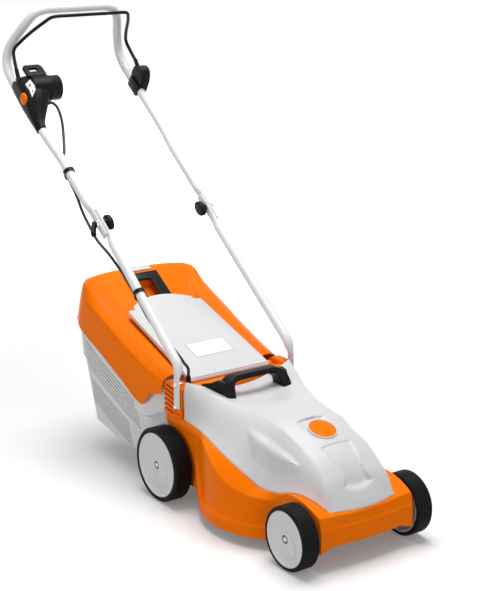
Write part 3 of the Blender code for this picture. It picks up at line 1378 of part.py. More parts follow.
def bail_pocket(sign):
    """Cutters for the bail's boss and for its wire, which swings in a slot."""
    x = sign * BAIL_PIVOT_X
    half = BAIL_BOSS_LENGTH / 2 + RUNNING_GAP
    pocket = rod("bail_pocket", at(x - half, BAIL_PIVOT_BACK, BAIL_PIVOT_Z),
                 at(x + half, BAIL_PIVOT_BACK, BAIL_PIVOT_Z), BAIL_BOSS_RADIUS + RUNNING_GAP)
    inner = x - sign * 11 * MM
    outer = x + sign * (BAIL_SLEEVE_RADIUS + RUNNING_GAP)
    low = at(min(inner, outer), BAIL_PIVOT_BACK - BAIL_BOSS_RADIUS - RUNNING_GAP,
             BAIL_PIVOT_Z - BAIL_SLEEVE_RADIUS)
    high = at(max(inner, outer), BAIL_PIVOT_BACK + 25 * MM, BAIL_PIVOT_Z + 60 * MM)
    return pocket, block("bail_slot", low, high)


def off_arm(back, height):
    """World y and z beside the arm's straight stretch, in metres, from millimetres."""
    (first, low), (last, high) = GRIP_LINE
    run = Vector((last - first, high - low)).normalized()
    z = low + (back - first) * run.y / run.x
    return FRONT_AXLE_Y + (back - height * run.y) * MM, (z + height * run.x) * MM


def arm_plate(name, outline, low_x, high_x, finish=TOOL):
    return plate(name, [off_arm(*point) for point in outline], low_x, high_x, finish)


def make_bracket():
    bracket = arm_plate("bail_bracket", CLAMP_OUTLINE, CLAMP_INNER_X, BRACKET_OUTER_X - 1 * MM,
                        "black")
    housing = arm_plate("bracket_housing", HOUSING_OUTLINE, HOUSING_INNER_X, BRACKET_OUTER_X)
    round_edges(housing, 2.5 * MM)
    join(bracket, housing)
    cut(bracket, arm_channel(), *bail_pocket(1))
    return bracket


def switch_section(station):
    """Ring of points round the switch box, square to the arm."""
    back, outer, side, ridge_x, ridge, inner, shoulder = station
    ring = [
        (outer - 4, -9), (outer, 1), (outer, side), (outer - 3, side + 0.3 * (ridge - side)),
        (ridge_x + 5, ridge - 1.5), (ridge_x, ridge), (ridge_x - 6, ridge - 0.5),
        (inner + 7, shoulder + 0.55 * (ridge - shoulder)), (inner + 2, shoulder + 1),
        (inner, shoulder - 4), (inner, -4), (inner + 4.5, -10), (GRIP_LINE_X / MM, -14),
    ]
    return [Vector((-x * MM, *off_arm(back, height))) for x, height in ring]


def make_strap_eye():
    """Flat tab with a slot above the switch box, for the extension lead's loop."""
    bars = []
    for name, outline in (("strap_eye", EYE_OUTLINE), ("eye_slot", EYE_SLOT)):
        reach = 6 * MM if name == "eye_slot" else 0
        rows = []
        for height in (EYE_LOW - reach, EYE_HIGH + reach):
            rows.append([Vector((-x * MM, *off_arm(back, height / MM))) for back, x in outline])
        bars.append(loft(name, rows, ring=True, cap=True))
    cut(bars[0], bars[1])
    return bars[0]


def make_switch_box():
    rows = [switch_section(station) for station in SWITCH_STATIONS]
    box = loft("switch_box", rows, "black", ring=True, cap=True)
    centre = (INLET_BACK, INLET_Z)
    join(box, make_strap_eye(), rod("inlet_boss", at(-SWITCH_POCKET_X - 2 * MM, *centre),
                                    at(-INLET_BOSS_X, *centre), INLET_BOSS_RADIUS, sides=32))
    pocket = rod("switch_pocket", at(-SWITCH_POCKET_X, *centre), at(-0.09, *centre),
                 INLET_RADIUS - INLET_WALL, sides=28)
    gland = rod("gland", at(-LEAD_START_X - 0.5 * MM, *LEAD_START), at(-0.08, *LEAD_START),
                CABLE_RADIUS + GAP, sides=12)
    cut(box, pocket, arm_channel(), button_body("button_hole", RUNNING_GAP, BUTTON_TRAVEL, 9 * MM),
        gland, *bail_pocket(-1))
    return box


def button_body(name, wider, deeper, proud, finish=TOOL):
    """Round button along X on the switch box's outer side."""
    y, z = off_arm(BUTTON_BACK / MM, BUTTON_HEIGHT / MM)
    return rod(name, Vector((-BUTTON_INNER_X + deeper, y, z)),
               Vector((-BUTTON_OUTER_X - proud, y, z)), BUTTON_RADIUS + wider, finish, 28)


def make_button():
    button = button_body("start_button", 0, 0, 0, "orange")
    round_edges(button, 1.5 * MM, 1)
    y, z = off_arm(BUTTON_BACK / MM, BUTTON_HEIGHT / MM)
    hang_on("button_axis", Vector((-BUTTON_OUTER_X, y, z)), button)
    return button


def make_inlet():
    """Shroud that the extension lead's socket is pushed into, on a flange over the boss."""
    centre = (INLET_BACK, INLET_Z)
    flange_low = -INLET_BOSS_X + GAP
    flange_high = flange_low + INLET_PLATE
    shroud = rod("inlet_shroud", at(flange_low, *centre), at(flange_high, *centre),
                 INLET_BOSS_RADIUS, "black", 32)
    floor = flange_low + INLET_FLOOR
    join(shroud, rod("shroud_tube", at(floor - 2 * MM, *centre), at(-INLET_REACH_X, *centre),
                     INLET_RADIUS, sides=32))
    cut(shroud, rod("shroud_bore", at(floor, *centre), at(-INLET_REACH_X + 0.02, *centre),
                    INLET_RADIUS - INLET_WALL, sides=28))
    low = floor + GAP
    high = low + INSERT_THICKNESS
    insert = rod("inlet_insert", at(low, *centre), at(high, *centre),
                 INLET_RADIUS - INLET_WALL - GAP, "black", sides=28)
    for sign in (-1, 1):
        back = INLET_BACK + sign * PIN_SPACING / 2
        join(insert, rod("inlet_pin", at(high - 2 * MM, back, INLET_Z),
                         at(high + PIN_LENGTH, back, INLET_Z), PIN_RADIUS, sides=10))
    return shroud, insert


def make_switch_module():
    y, z = FRONT_AXLE_Y + INLET_BACK, INLET_Z
    return block("switch_module", (-SWITCH_POCKET_X + GAP, y - 15 * MM, z - 13 * MM),
                 (-INLET_BOSS_X - 8 * MM, y + 15 * MM, z + 12 * MM), "dark_grey")


# Lead

AWAY = Vector((0, ARM.z, -ARM.y))     # square to the arms, down and back
RIGHT_UPPER_ARM = mirrored(UPPER_ARM)
RIGHT_LOWER_ARM = mirrored(LOWER_ARM)


def beside_arm(path, back, out=0.0, extra=0.0):
    """Point of the lead under an arm, moved outwards and away from it."""
    return on_arm(path, back) + AWAY * (CABLE_OFFSET + extra) - Vector((out, 0, 0))


def cable_routes():
    """The lead from the switch box to the fold, and from the fold to the motor's grommet."""
    upper = [at(-LEAD_START_X, *LEAD_START)]
    for point in ((-110, 1004, 778), (-98.5, 1003.7, 777.6), (-91.5, 997, 771), (-89.5, 984, 756), (-92, 968, 734),
                  (-100, 949, 709), (-113, 923, 685)):
        upper.append(at_mm(*point))
    for back, out, extra in ((UPPER_CLIP_BACK + CLIP_WIDTH, 0, 0),
                             (UPPER_CLIP_BACK - CLIP_WIDTH, 0, 0), (0.79, 0.003, 0.001), (0.755, 0.008, 0.004)):
        upper.append(beside_arm(RIGHT_UPPER_ARM, back, out, extra))
    fold = Vector((-LEAD_FOLD_X, FOLD.y, FOLD.z)) + AWAY * (CABLE_OFFSET + LEAD_FOLD_EXTRA)
    upper.append(fold)
    lower = [fold, fold - ARM * (22 * MM)]
    for back, out, extra in ((0.65, 0.009, 0.003), (0.60, 0.002, 0.001),
                             (LOWER_CLIP_BACK + CLIP_WIDTH, 0, 0),
                             (LOWER_CLIP_BACK - CLIP_WIDTH, 0, 0), (0.505, 0, 0)):
        lower.append(beside_arm(RIGHT_LOWER_ARM, back, out, extra))
    top = GROMMET_TOP + Vector((0, 0, GAP))
    lower += [at(-0.128, 0.447, 0.330), at(-0.119, 0.415, 0.302), top + Vector((0, 0, 14 * MM)),
              top + Vector((0, 0, 5 * MM)), top]
    return upper, lower


GROMMET_TOP = at(-GROMMET_X, GROMMET_BACK, BRIDGE_TOP_Z + LIP_HEIGHT + GAP + GROMMET_HEIGHT)


def make_lead():
    upper, lower = cable_routes()
    step = ARM * (GAP / 2)
    upper[-1] = upper[-1] + step
    lower[0] = lower[0] - step
    tube("lead_upper", smooth_path(upper, 3), CABLE_RADIUS, "black", 2)
    tube("lead_lower", smooth_path(lower, 3), CABLE_RADIUS, "black", 2)
    low = at(-GROMMET_X, GROMMET_BACK, BRIDGE_TOP_Z + LIP_HEIGHT + GAP)
    rod("lead_grommet", low, GROMMET_TOP, GROMMET_RADIUS, "black", 12, CABLE_RADIUS + 1 * MM)


def ring_clip(name, path, back):
    """Figure-of-eight clip round a handle tube and the lead under it."""
    tube_point = on_arm(path, back)
    cable_point = beside_arm(path, back)
    heading = (on_arm(path, back + CLIP_WIDTH) - on_arm(path, back - CLIP_WIDTH)).normalized()
    run = heading * (CLIP_WIDTH / 2)
    bore = CABLE_RADIUS + CLIP_CLEARANCE
    clip = rod(name, tube_point - run, tube_point + run, TUBE_RADIUS + CLIP_CLEARANCE + CLIP_WALL,
               "black", 20)
    join(clip, rod("clip_eye", cable_point - run, cable_point + run, bore + CLIP_WALL, sides=12))
    cut(clip, rod("clip_tube_bore", tube_point - run * 3, tube_point + run * 3,
                  TUBE_RADIUS + CLIP_CLEARANCE, sides=20),
        rod("clip_eye_bore", cable_point - run * 3, cable_point + run * 3, bore, sides=12))
    return clip


def make_clips():
    ring_clip("lead_clip_upper", RIGHT_UPPER_ARM, UPPER_CLIP_BACK)
    ring_clip("lead_clip_lower", RIGHT_LOWER_ARM, LOWER_CLIP_BACK)


def make_lead_hook():
    """Plastic hook under the right fold bolt's head that carries the lead past the fold."""
    inner = UPPER_END_X + CRIMP_THICKNESS / 2 + GAP + FOLD_HEAD + GAP
    lead = Vector((-LEAD_FOLD_X, FOLD.y, FOLD.z)) + AWAY * (CABLE_OFFSET + LEAD_FOLD_EXTRA)
    lead -= ARM * (11 * MM)
    hook = plate("lead_hook", stadium((FOLD.y, FOLD.z), (lead.y, lead.z), 7 * MM),
                 -inner - 5 * MM, -inner, "black")
    run = ARM * 4 * MM
    bore = CABLE_RADIUS + CLIP_CLEARANCE
    join(hook, rod("hook_eye", lead - run, lead + run, bore + CLIP_WALL, sides=12))
    cut(hook, rod("hook_bore", lead - run * 4, lead + run * 4, bore, sides=12))
    return hook


def build_mower():
    make_deck()
    make_hood()
    make_badge()
    make_carry_handle()
    flap = make_flap()
    hang_on("flap_axis", at(0, HINGE_BACK, HINGE_Z), flap)
    make_hinge_pin()
    make_lid()
    make_basket()
    make_grip()
    indicator = make_indicator()
    hang_on("indicator_axis", at(0, INDICATOR_BACK, lid_top(INDICATOR_BACK) + INDICATOR_LIFT),
            indicator)
    make_motor()
    hang_on("blade_axis", at(0, CHAMBER_BACK, 0), *make_rotor(), *make_blade_set())
    for side, sign in SIDES.items():
        make_wheel("front_" + side, sign, FRONT_WHEEL_BACK, FRONT_WHEEL_RADIUS, FRONT_WHEEL_WIDTH,
                   FRONT_WHEEL_OUTER_X, FRONT_TYRE_DEPTH)
        make_wheel("rear_" + side, sign, REAR_WHEEL_BACK, REAR_WHEEL_RADIUS, REAR_WHEEL_WIDTH,
                   REAR_WHEEL_OUTER_X, REAR_TYRE_DEPTH)
        make_handle_mount(side, sign)
        make_lower_tube(side, sign)
        for level, z in FOOT_BOLT_HEIGHTS.items():
            make_foot_bolt(f"foot_bolt_{side}_{level}", sign, z)
        make_fold_bolt(side, sign)
        make_knob(side, sign)
    make_axle("front_axle", front_pivot(), FRONT_WHEEL_BACK, FRONT_WHEEL_RADIUS, NOSE_HALF_WIDTH,
              FRONT_WHEEL_OUTER_X, FRONT_WHEEL_WIDTH)
    make_axle("rear_axle", rear_pivot(), REAR_WHEEL_BACK, REAR_WHEEL_RADIUS, REAR_HALF_WIDTH,
              REAR_WHEEL_OUTER_X, REAR_WHEEL_WIDTH)
    make_upper_handle()
    make_bail()
    make_bracket()
    make_switch_box()
    make_button()
    make_inlet()
    make_switch_module()
    make_lead()
    make_clips()
    make_lead_hook()


build_mower()
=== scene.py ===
# %% [markdown]
# # An electric lawn mower, dressed
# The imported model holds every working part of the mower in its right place: the deck, the motor
# hood, the wheels, the folding handle and the grass box. This file gives them their looks. Each
# step first says what a piece or a finish is on the real machine, how it could be made, and why
# it is made the way that follows.

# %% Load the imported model
import math

import bmesh
import bpy
from mathutils import Matrix, Vector
from mathutils.bvhtree import BVHTree


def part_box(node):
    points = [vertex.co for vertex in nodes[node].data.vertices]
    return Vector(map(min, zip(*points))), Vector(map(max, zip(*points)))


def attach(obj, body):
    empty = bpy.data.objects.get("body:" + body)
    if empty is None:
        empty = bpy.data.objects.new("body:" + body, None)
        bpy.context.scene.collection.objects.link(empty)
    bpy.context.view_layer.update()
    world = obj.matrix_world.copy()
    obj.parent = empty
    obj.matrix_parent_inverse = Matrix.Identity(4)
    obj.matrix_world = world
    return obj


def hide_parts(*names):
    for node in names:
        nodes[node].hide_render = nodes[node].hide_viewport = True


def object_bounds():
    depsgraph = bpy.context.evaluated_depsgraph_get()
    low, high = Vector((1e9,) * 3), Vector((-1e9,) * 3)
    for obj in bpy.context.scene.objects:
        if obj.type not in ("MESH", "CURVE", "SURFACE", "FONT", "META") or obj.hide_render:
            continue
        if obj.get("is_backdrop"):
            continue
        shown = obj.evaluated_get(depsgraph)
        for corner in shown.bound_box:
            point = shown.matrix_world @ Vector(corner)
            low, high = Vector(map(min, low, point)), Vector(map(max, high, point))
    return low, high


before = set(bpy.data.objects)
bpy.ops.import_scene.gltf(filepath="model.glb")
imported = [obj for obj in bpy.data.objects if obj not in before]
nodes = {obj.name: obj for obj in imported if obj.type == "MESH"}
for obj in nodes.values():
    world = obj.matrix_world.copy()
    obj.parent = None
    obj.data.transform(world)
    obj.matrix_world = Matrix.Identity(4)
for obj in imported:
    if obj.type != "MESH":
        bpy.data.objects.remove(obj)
cad_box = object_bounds()
scene = bpy.context.scene
scene.view_settings.view_transform = "Standard"

# %% [markdown]
# ## Where things are
# A mower is measured back from its front axle, because that is where its maker starts too. One
# helper turns millimetres across, back and up into a place in the scene. The front axle's own
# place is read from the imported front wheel, so it can't drift from the model.

# %% Places in millimetres
MM = 0.001
SIDES = {"right": -1, "left": 1}
wheel_low, wheel_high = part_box("rim_front_left")
FRONT_AXLE_Y = (wheel_low.y + wheel_high.y) / 2


def at(x, back, z):
    """Place from millimetres across, back from the front axle, and up."""
    return Vector((x * MM, FRONT_AXLE_Y + back * MM, z * MM))


def mirrored(points):
    return [Vector((-point.x, point.y, point.z)) for point in points]


def millimetres(place):
    """The other way round: across, back and z of a place in the scene."""
    return place.x / MM, (place.y - FRONT_AXLE_Y) / MM, place.z / MM


print("front axle at y =", round(FRONT_AXLE_Y, 4))

# %% [markdown]
# ## The camera
# The photograph looks down on the mower's right front corner through a long lens. The camera
# could be turned towards the mower by a constraint, but its place and angles were fitted to the
# wheels and the handle in the photograph, so they are plain numbers here.

# %% Camera at the photograph's angle
CAMERA_PLACE = (-1.7359, -2.62315, 1.2929)
CAMERA_TILT, CAMERA_TURN = 74.18, -35.108
FILM_HEIGHT, FOCAL_LENGTH = 24, 60.4


def place_object(name, data):
    """Object with its data, in the scene."""
    thing = bpy.data.objects.new(name, data)
    scene.collection.objects.link(thing)
    return thing


lens = bpy.data.cameras.new("photo_camera")
lens.sensor_fit, lens.sensor_height, lens.lens = "VERTICAL", FILM_HEIGHT, FOCAL_LENGTH
camera = scene.camera = place_object("photo_camera", lens)
camera.location = CAMERA_PLACE
camera.rotation_euler = (math.radians(CAMERA_TILT), 0, math.radians(CAMERA_TURN))

# %% [markdown]
# ## Building blocks for finishes
# Nearly every surface of the mower is moulded plastic, and moulded plastic is never one flat
# colour: the mould's fine sparked texture breaks up the gloss, and the pigment and the polish
# drift a little from place to place. Both effects are used by many finishes, so each is a node
# group that is built once and placed with its own values. They read Object coordinates, which
# stay with a piece when it moves.

# %% Node group helpers
def new_group(name, inputs, outputs):
    """Empty node group; its inputs are given with their defaults, its outputs with their kind."""
    group = bpy.data.node_groups.new(name, "ShaderNodeTree")
    for label, value in inputs.items():
        kind = "NodeSocketFloat" if isinstance(value, float) else "NodeSocketColor"
        socket = group.interface.new_socket(label, in_out="INPUT", socket_type=kind)
        socket.default_value = value
    for label, kind in outputs.items():
        group.interface.new_socket(label, in_out="OUTPUT", socket_type="NodeSocket" + kind)
    given, result = group.nodes.new("NodeGroupInput"), group.nodes.new("NodeGroupOutput")
    return group, given.outputs, result.inputs


def feed(tree, sockets, values):
    """Link each value that is a socket, and set each one that is a number or a colour."""
    for socket, value in zip(sockets, values):
        if isinstance(value, bpy.types.NodeSocket):
            tree.links.new(value, socket)
        else:
            socket.default_value = value


def add_node(tree, kind, **values):
    """Node of a kind, with its settings and its inputs by name."""
    node = tree.nodes.new("ShaderNode" + kind)
    for name, value in values.items():
        label = name.replace("_", " ")
        if label in node.inputs:
            feed(tree, [node.inputs[label]], [value])
        else:
            setattr(node, name, value)
    return node


def calculate(tree, operation, *terms):
    """Result of a math node on numbers and sockets."""
    node = add_node(tree, "Math", operation=operation)
    feed(tree, node.inputs, terms)
    return node.outputs[0]


def blend(tree, kind, share, first, second):
    """Result of mixing two numbers (FLOAT) or two colours (RGBA)."""
    node = add_node(tree, "Mix", data_type=kind)
    start, result = {"FLOAT": (2, 0), "RGBA": (6, 2)}[kind]
    feed(tree, [node.inputs[index] for index in (0, start, start + 1)], (share, first, second))
    return node.outputs[result]


def own_place(tree):
    return add_node(tree, "TexCoord").outputs["Object"]


# %% [markdown]
# The first group is the grain that a sparked mould leaves on plastic: shallow cells of about half
# a millimetre with finer noise between them. It could be modelled, but at this size a bump is
# cheaper and looks the same.

# %% Moulded grain
def make_moulded_grain():
    group, given, result = new_group(
        "moulded_grain", {"Cells per metre": 1500.0, "Fineness": 0.5}, {"Height": "Float"})
    shared = dict(Vector=own_place(group), Scale=given["Cells per metre"])
    cells = add_node(group, "TexVoronoi", feature="SMOOTH_F1", Smoothness=0.7, **shared)
    noise = add_node(group, "TexNoise", Detail=2.0, Roughness=0.6, **shared)
    height = blend(group, "FLOAT", given["Fineness"], cells.outputs["Distance"],
                   noise.outputs["Fac"])
    feed(group, result, [height])
    return group


moulded_grain = make_moulded_grain()

# %% [markdown]
# The second group lets a finish drift: broad soft clouds shift its brightness, and a finer
# pattern shifts how polished it is. Without it large panels, such as the hood, look like paper.

# %% Drift of colour and polish
def make_surface_drift():
    group, given, result = new_group(
        "surface_drift",
        {"Colour": (0.5, 0.5, 0.5, 1), "Colour drift": 0.05, "Roughness": 0.4,
         "Roughness drift": 0.06, "Clouds per metre": 9.0},
        {"Colour": "Color", "Roughness": "Float"})
    place, scale = own_place(group), given["Clouds per metre"]
    clouds = add_node(group, "TexNoise", Detail=3.0, Roughness=0.55, Vector=place, Scale=scale)
    smears = add_node(group, "TexNoise", Detail=4.0, Roughness=0.65, Vector=place,
                      Scale=calculate(group, "MULTIPLY", scale, 6.0))
    swing, polish = (calculate(group, "SUBTRACT", noise.outputs["Fac"], 0.5)
                     for noise in (clouds, smears))
    shade = add_node(group, "HueSaturation", Color=given["Colour"], Value=calculate(
        group, "MULTIPLY_ADD", swing, given["Colour drift"], 1.0))
    feed(group, result, (shade.outputs["Color"], calculate(
        group, "MULTIPLY_ADD", polish, given["Roughness drift"], given["Roughness"])))
    return group


surface_drift = make_surface_drift()

# %% [markdown]
# Dust settles on what faces up. The third group gives a mask from the surface's own normal, broken
# up by noise, so that black plastic and rubber don't stay perfectly black on top.

# %% Settled dust
def make_settled_dust():
    group, given, result = new_group(
        "settled_dust", {"Amount": 0.1, "Specks per metre": 260.0}, {"Mask": "Float"})
    specks = add_node(group, "TexNoise", Detail=5.0, Roughness=0.7, Vector=own_place(group),
                      Scale=given["Specks per metre"])
    facing = add_node(group, "NewGeometry").outputs["Normal"]
    upward = calculate(group, "MAXIMUM",
                       add_node(group, "SeparateXYZ", Vector=facing).outputs["Z"], 0.0)
    broken = calculate(group, "MULTIPLY", upward, specks.outputs["Fac"])
    feed(group, result, [calculate(group, "MULTIPLY", broken, given["Amount"])])
    return group


settled_dust = make_settled_dust()

# %% [markdown]
# Drawn and ground steel has fine lines in one direction. The fourth group stretches a noise along
# X, the way that axles, pins and the blade lie, and gives it as a height and as a change of gloss.

# %% Drawn metal
def make_drawn_lines():
    group, given, result = new_group(
        "drawn_lines", {"Lines per metre": 1600.0, "Stretch": 0.02},
        {"Height": "Float", "Gloss": "Float"})
    scale = add_node(group, "CombineXYZ", X=given["Stretch"], Y=1.0, Z=1.0)
    pull = add_node(group, "VectorMath", operation="MULTIPLY")
    feed(group, pull.inputs, (own_place(group), scale.outputs[0]))
    lines = add_node(group, "TexNoise", Detail=3.0, Roughness=0.6, Vector=pull.outputs[0],
                     Scale=given["Lines per metre"]).outputs["Fac"]
    feed(group, result, (lines, lines))
    return group


drawn_lines = make_drawn_lines()


# %% [markdown]
# ## The finishes
# One function sets up a moulded plastic from those groups. What doesn't change over a surface,
# such as metalness or a coat, is set on the shader itself.

# %% A moulded plastic
DUST = (0.42, 0.40, 0.37, 1)


def start_finish(name, colour, roughness, colour_drift=0.06, roughness_drift=0.08, clouds=9.0,
                 **constants):
    """Material whose colour and polish drift; constants are set on the shader's own sockets."""
    material = bpy.data.materials.new(name)
    material.use_nodes = True
    tree = material.node_tree
    shader = tree.nodes["Principled BSDF"].inputs
    for label, value in constants.items():
        shader[label.replace("_", " ")].default_value = value
    drift = add_node(tree, "Group", node_tree=surface_drift, Colour=(*colour, 1),
                     Colour_drift=colour_drift, Roughness=roughness,
                     Roughness_drift=roughness_drift, Clouds_per_metre=clouds).outputs
    feed(tree, (shader["Base Color"], shader["Roughness"]), (drift["Colour"], drift["Roughness"]))
    return material, tree, shader, drift


def add_bump(tree, shader, height, strength, depth):
    """Relief from a height between 0 and 1; the depth is in millimetres."""
    bump = add_node(tree, "Bump", Strength=strength, Distance=depth * MM, Height=height)
    tree.links.new(bump.outputs["Normal"], shader["Normal"])


def moulded(name, colour, roughness, cells=1500.0, strength=0.25, dust=0.0, **settings):
    """Plastic or rubber with a mould's grain, and with dust where it faces up."""
    material, tree, shader, drift = start_finish(name, colour, roughness, **settings)
    grain = add_node(tree, "Group", node_tree=moulded_grain, Cells_per_metre=cells)
    add_bump(tree, shader, grain.outputs["Height"], strength, depth=0.06)
    if dust:
        mask = add_node(tree, "Group", node_tree=settled_dust, Amount=dust).outputs["Mask"]
        tree.links.new(blend(tree, "RGBA", mask, drift["Colour"], DUST), shader["Base Color"])
    return material


# %% [markdown]
# The deck and the lid are a strong orange with a soft gloss. The hood, the flap and the rims are
# a cool light grey, the basket a duller grey. The black parts have a coarser grain that keeps
# hands from slipping, and they show dust.

# %% The plastics
ORANGE = moulded("orange_plastic", (0.98, 0.19, 0.0005), 0.27, cells=1300, strength=0.14,
                 Specular_IOR_Level=0.045)
LIGHT = moulded("light_plastic", (0.62, 0.625, 0.635), 0.36, cells=1300, strength=0.14,
                Specular_IOR_Level=0.32, Coat_Weight=0.04, Coat_Roughness=0.2)
RIM = moulded("rim_plastic", (0.73, 0.73, 0.735), 0.4, cells=1300, strength=0.14,
              Specular_IOR_Level=0.32)
BASKET = moulded("basket_plastic", (0.80, 0.805, 0.815), 0.52, cells=1000, strength=0.3)
BLACK = moulded("black_plastic", (0.004, 0.004, 0.0043), 0.34, cells=1100, strength=0.3,
                dust=0.004, colour_drift=0.3, Specular_IOR_Level=0.12)
DARK = moulded("dark_plastic", (0.05, 0.05, 0.053), 0.5, cells=1100, strength=0.35, dust=0.03,
               colour_drift=0.2, Specular_IOR_Level=0.35)
STICKER = moulded("blank_label", (0.80, 0.80, 0.80), 0.3, cells=400, strength=0.04,
                  colour_drift=0.03)
MARK = moulded("printed_mark", (0.03, 0.03, 0.035), 0.4, cells=600, strength=0.05,
               colour_drift=0.2)
print("plastics:", ORANGE.name, LIGHT.name, BASKET.name, BLACK.name, DARK.name)

# %% [markdown]
# Rubber is duller than plastic, and a tyre that has been handled carries a little dust where it
# faces up. The lead's sheath is smooth, soft PVC. The handle is steel tube under a white powder
# coat, which dries with the ripple of orange peel: a noise three times broader than the plastics'
# grain.

# %% Rubber, sheath and powder coat
RUBBER = moulded("tyre_rubber", (0.005, 0.005, 0.005), 0.55, cells=900, strength=0.5, dust=0.01,
                 colour_drift=0.35, Specular_IOR_Level=0.09)
SHEATH = moulded("lead_sheath", (0.007, 0.007, 0.008), 0.4, cells=500, strength=0.12,
                 colour_drift=0.25, clouds=60.0, Specular_IOR_Level=0.35)


def powder_coat():
    material, tree, shader, _ = start_finish(
        "handle_tube", (0.76, 0.76, 0.765), 0.34, roughness_drift=0.1, Coat_Weight=0.12,
        Coat_Roughness=0.22)
    peel = add_node(tree, "TexNoise", Scale=420.0, Detail=2.0, Vector=own_place(tree))
    add_bump(tree, shader, peel.outputs["Fac"], strength=0.3, depth=0.12)
    return material


TUBE = powder_coat()

# %% [markdown]
# Bolts, pins and axles are zinc-plated, the blade is ground steel. Both are metals with drawn
# lines. The motor's windings show as lacquered copper with one line per turn of wire, and its
# iron as a stack of thin sheets.

# %% Metals
LINE_GLOSS, WAVE_SCALE = 0.16, 6.3      # swing of the roughness; layers to the texture's scale


def drawn_metal(name, colour, roughness, lines=1600.0, stretch=0.02):
    material, tree, shader, drift = start_finish(name, colour, roughness, Metallic=1.0)
    pulled = add_node(tree, "Group", node_tree=drawn_lines, Lines_per_metre=lines,
                      Stretch=stretch).outputs
    gloss = calculate(tree, "MULTIPLY_ADD", pulled["Gloss"], LINE_GLOSS, drift["Roughness"])
    tree.links.new(calculate(tree, "SUBTRACT", gloss, LINE_GLOSS / 2), shader["Roughness"])
    add_bump(tree, shader, pulled["Height"], strength=0.3, depth=0.05)
    return material


def stacked(name, colour, roughness, per_metre):
    """Metal in thin layers one above the other, such as wire turns or iron sheets."""
    material, tree, shader, _ = start_finish(name, colour, roughness, Metallic=1.0)
    layers = add_node(tree, "TexWave", wave_type="BANDS", bands_direction="Z", Distortion=0.4,
                      Detail=1.0, Scale=per_metre / WAVE_SCALE, Vector=own_place(tree))
    add_bump(tree, shader, layers.outputs["Fac"], strength=0.6, depth=0.3)
    return material


ZINC = drawn_metal("zinc_steel", (0.62, 0.62, 0.63), 0.3, stretch=0.4)
BLADE_STEEL = drawn_metal("ground_steel", (0.50, 0.50, 0.52), 0.34, lines=900.0)
COPPER = stacked("copper_windings", (0.66, 0.27, 0.12), 0.35, 1400.0)
IRON = stacked("iron_sheets", (0.32, 0.32, 0.34), 0.4, 2000.0)

# %% [markdown]
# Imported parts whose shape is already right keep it, and only change their finish. These are the
# parts inside the mower and the ones under it.

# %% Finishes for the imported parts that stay
INNER_FINISHES = {
    "motor_can": DARK, "stator": COPPER, "rotor": IRON, "motor_shaft": ZINC,
    "lower_bearing": ZINC, "upper_bearing": ZINC, "cooling_fan": BLACK, "blade_carrier": BLACK,
    "switch_module": DARK, "flap_hinge_pin": ZINC,
}
for name, material in INNER_FINISHES.items():
    for slot in nodes[name].material_slots:
        slot.material = material
print(len(INNER_FINISHES), "packed parts have their finish")

# %% [markdown]
# ## Shells from stations
# The hood, the deck, the lid and the basket are thin moulded shells. Each is drawn as a boat is:
# by its cross-sections at stations along its length. A box could be pushed into shape by hand,
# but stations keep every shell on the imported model. A smooth curve runs through each station's
# values, and a grid of quads is laid over the sections.

# %% Curves through station values
def cubic(t, reach, near, far, leave, arrive):
    """Value at a share t of a smooth stretch with the given ends and end slopes."""
    return (near * (2 * t ** 3 - 3 * t ** 2 + 1) + far * (3 * t ** 2 - 2 * t ** 3)
            + leave * reach * (t ** 3 - 2 * t ** 2 + t) + arrive * reach * (t ** 3 - t ** 2))


def smooth_value(stations, column, back):
    """Value of a station column at a length back, on a smooth curve through the stations."""
    last = len(stations) - 1
    index = 0
    while index < last - 1 and back > stations[index + 1][0]:
        index += 1
    slopes = []
    for i in (index, index + 1):
        low, high = stations[max(i - 1, 0)], stations[min(i + 1, last)]
        slopes.append((high[column] - low[column]) / (high[0] - low[0]))
    near, far = stations[index], stations[index + 1]
    reach = far[0] - near[0]
    t = min(max((back - near[0]) / reach, 0), 1)
    return cubic(t, reach, near[column], far[column], *slopes)


def station_at(stations, back):
    """All values of a station table at a length back."""
    return [smooth_value(stations, column, back) for column in range(1, len(stations[0]))]


def ease(value, low, high):
    """0 below low, 1 above high and a smooth rise between; low may be the larger one."""
    t = min(max((value - low) / (high - low), 0), 1)
    return t * t * (3 - 2 * t)


def spread(low, high, count):
    return [low + (high - low) * step / (count - 1) for step in range(count)]


# %% [markdown]
# `lay_grid` starts from a flat grid and moves each of its points onto the rows of a section
# table. `both_sides` turns half sections into whole ones. The mesh goes into the scene with
# `add_piece`, which also hangs the piece on an empty for the body it rides on and hides the
# imported nodes it stands for.


def lay_grid(rows):
    """Grid of quads on the given points; each vertex keeps its row and its column."""
    bm = bmesh.new()
    row_of, column_of = (bm.verts.layers.int.new(name) for name in ("row", "column"))
    width = len(rows[0])
    grid = bmesh.ops.create_grid(bm, x_segments=width - 1, y_segments=len(rows) - 1, size=0.5)
    for index, vert in enumerate(grid["verts"]):
        vert[row_of], vert[column_of] = divmod(index, width)
        vert.co = rows[vert[row_of]][vert[column_of]]
    bmesh.ops.remove_doubles(bm, verts=bm.verts, dist=0.01 * MM)
    bmesh.ops.recalc_face_normals(bm, faces=bm.faces)
    return bm


def both_sides(half):
    return mirrored(reversed(half[1:])) + half


def shade(mesh, sharp):
    """Smooth shading, but for edges sharper than an angle in degrees."""
    mesh.shade_smooth()
    mesh.set_sharp_from_angle(angle=math.radians(sharp))


def mesh_from(name, bm):
    mesh = bpy.data.meshes.new(name)
    bm.to_mesh(mesh)
    bm.free()
    return mesh


def add_piece(name, bm, material, body, *stands_for, slot=None, sharp=32):
    mesh = mesh_from(name, bm)
    mesh.materials.append(material)
    shade(mesh, sharp)
    piece = place_object(name, mesh)
    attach(piece, body)
    if stands_for:
        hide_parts(*stands_for)
    return piece


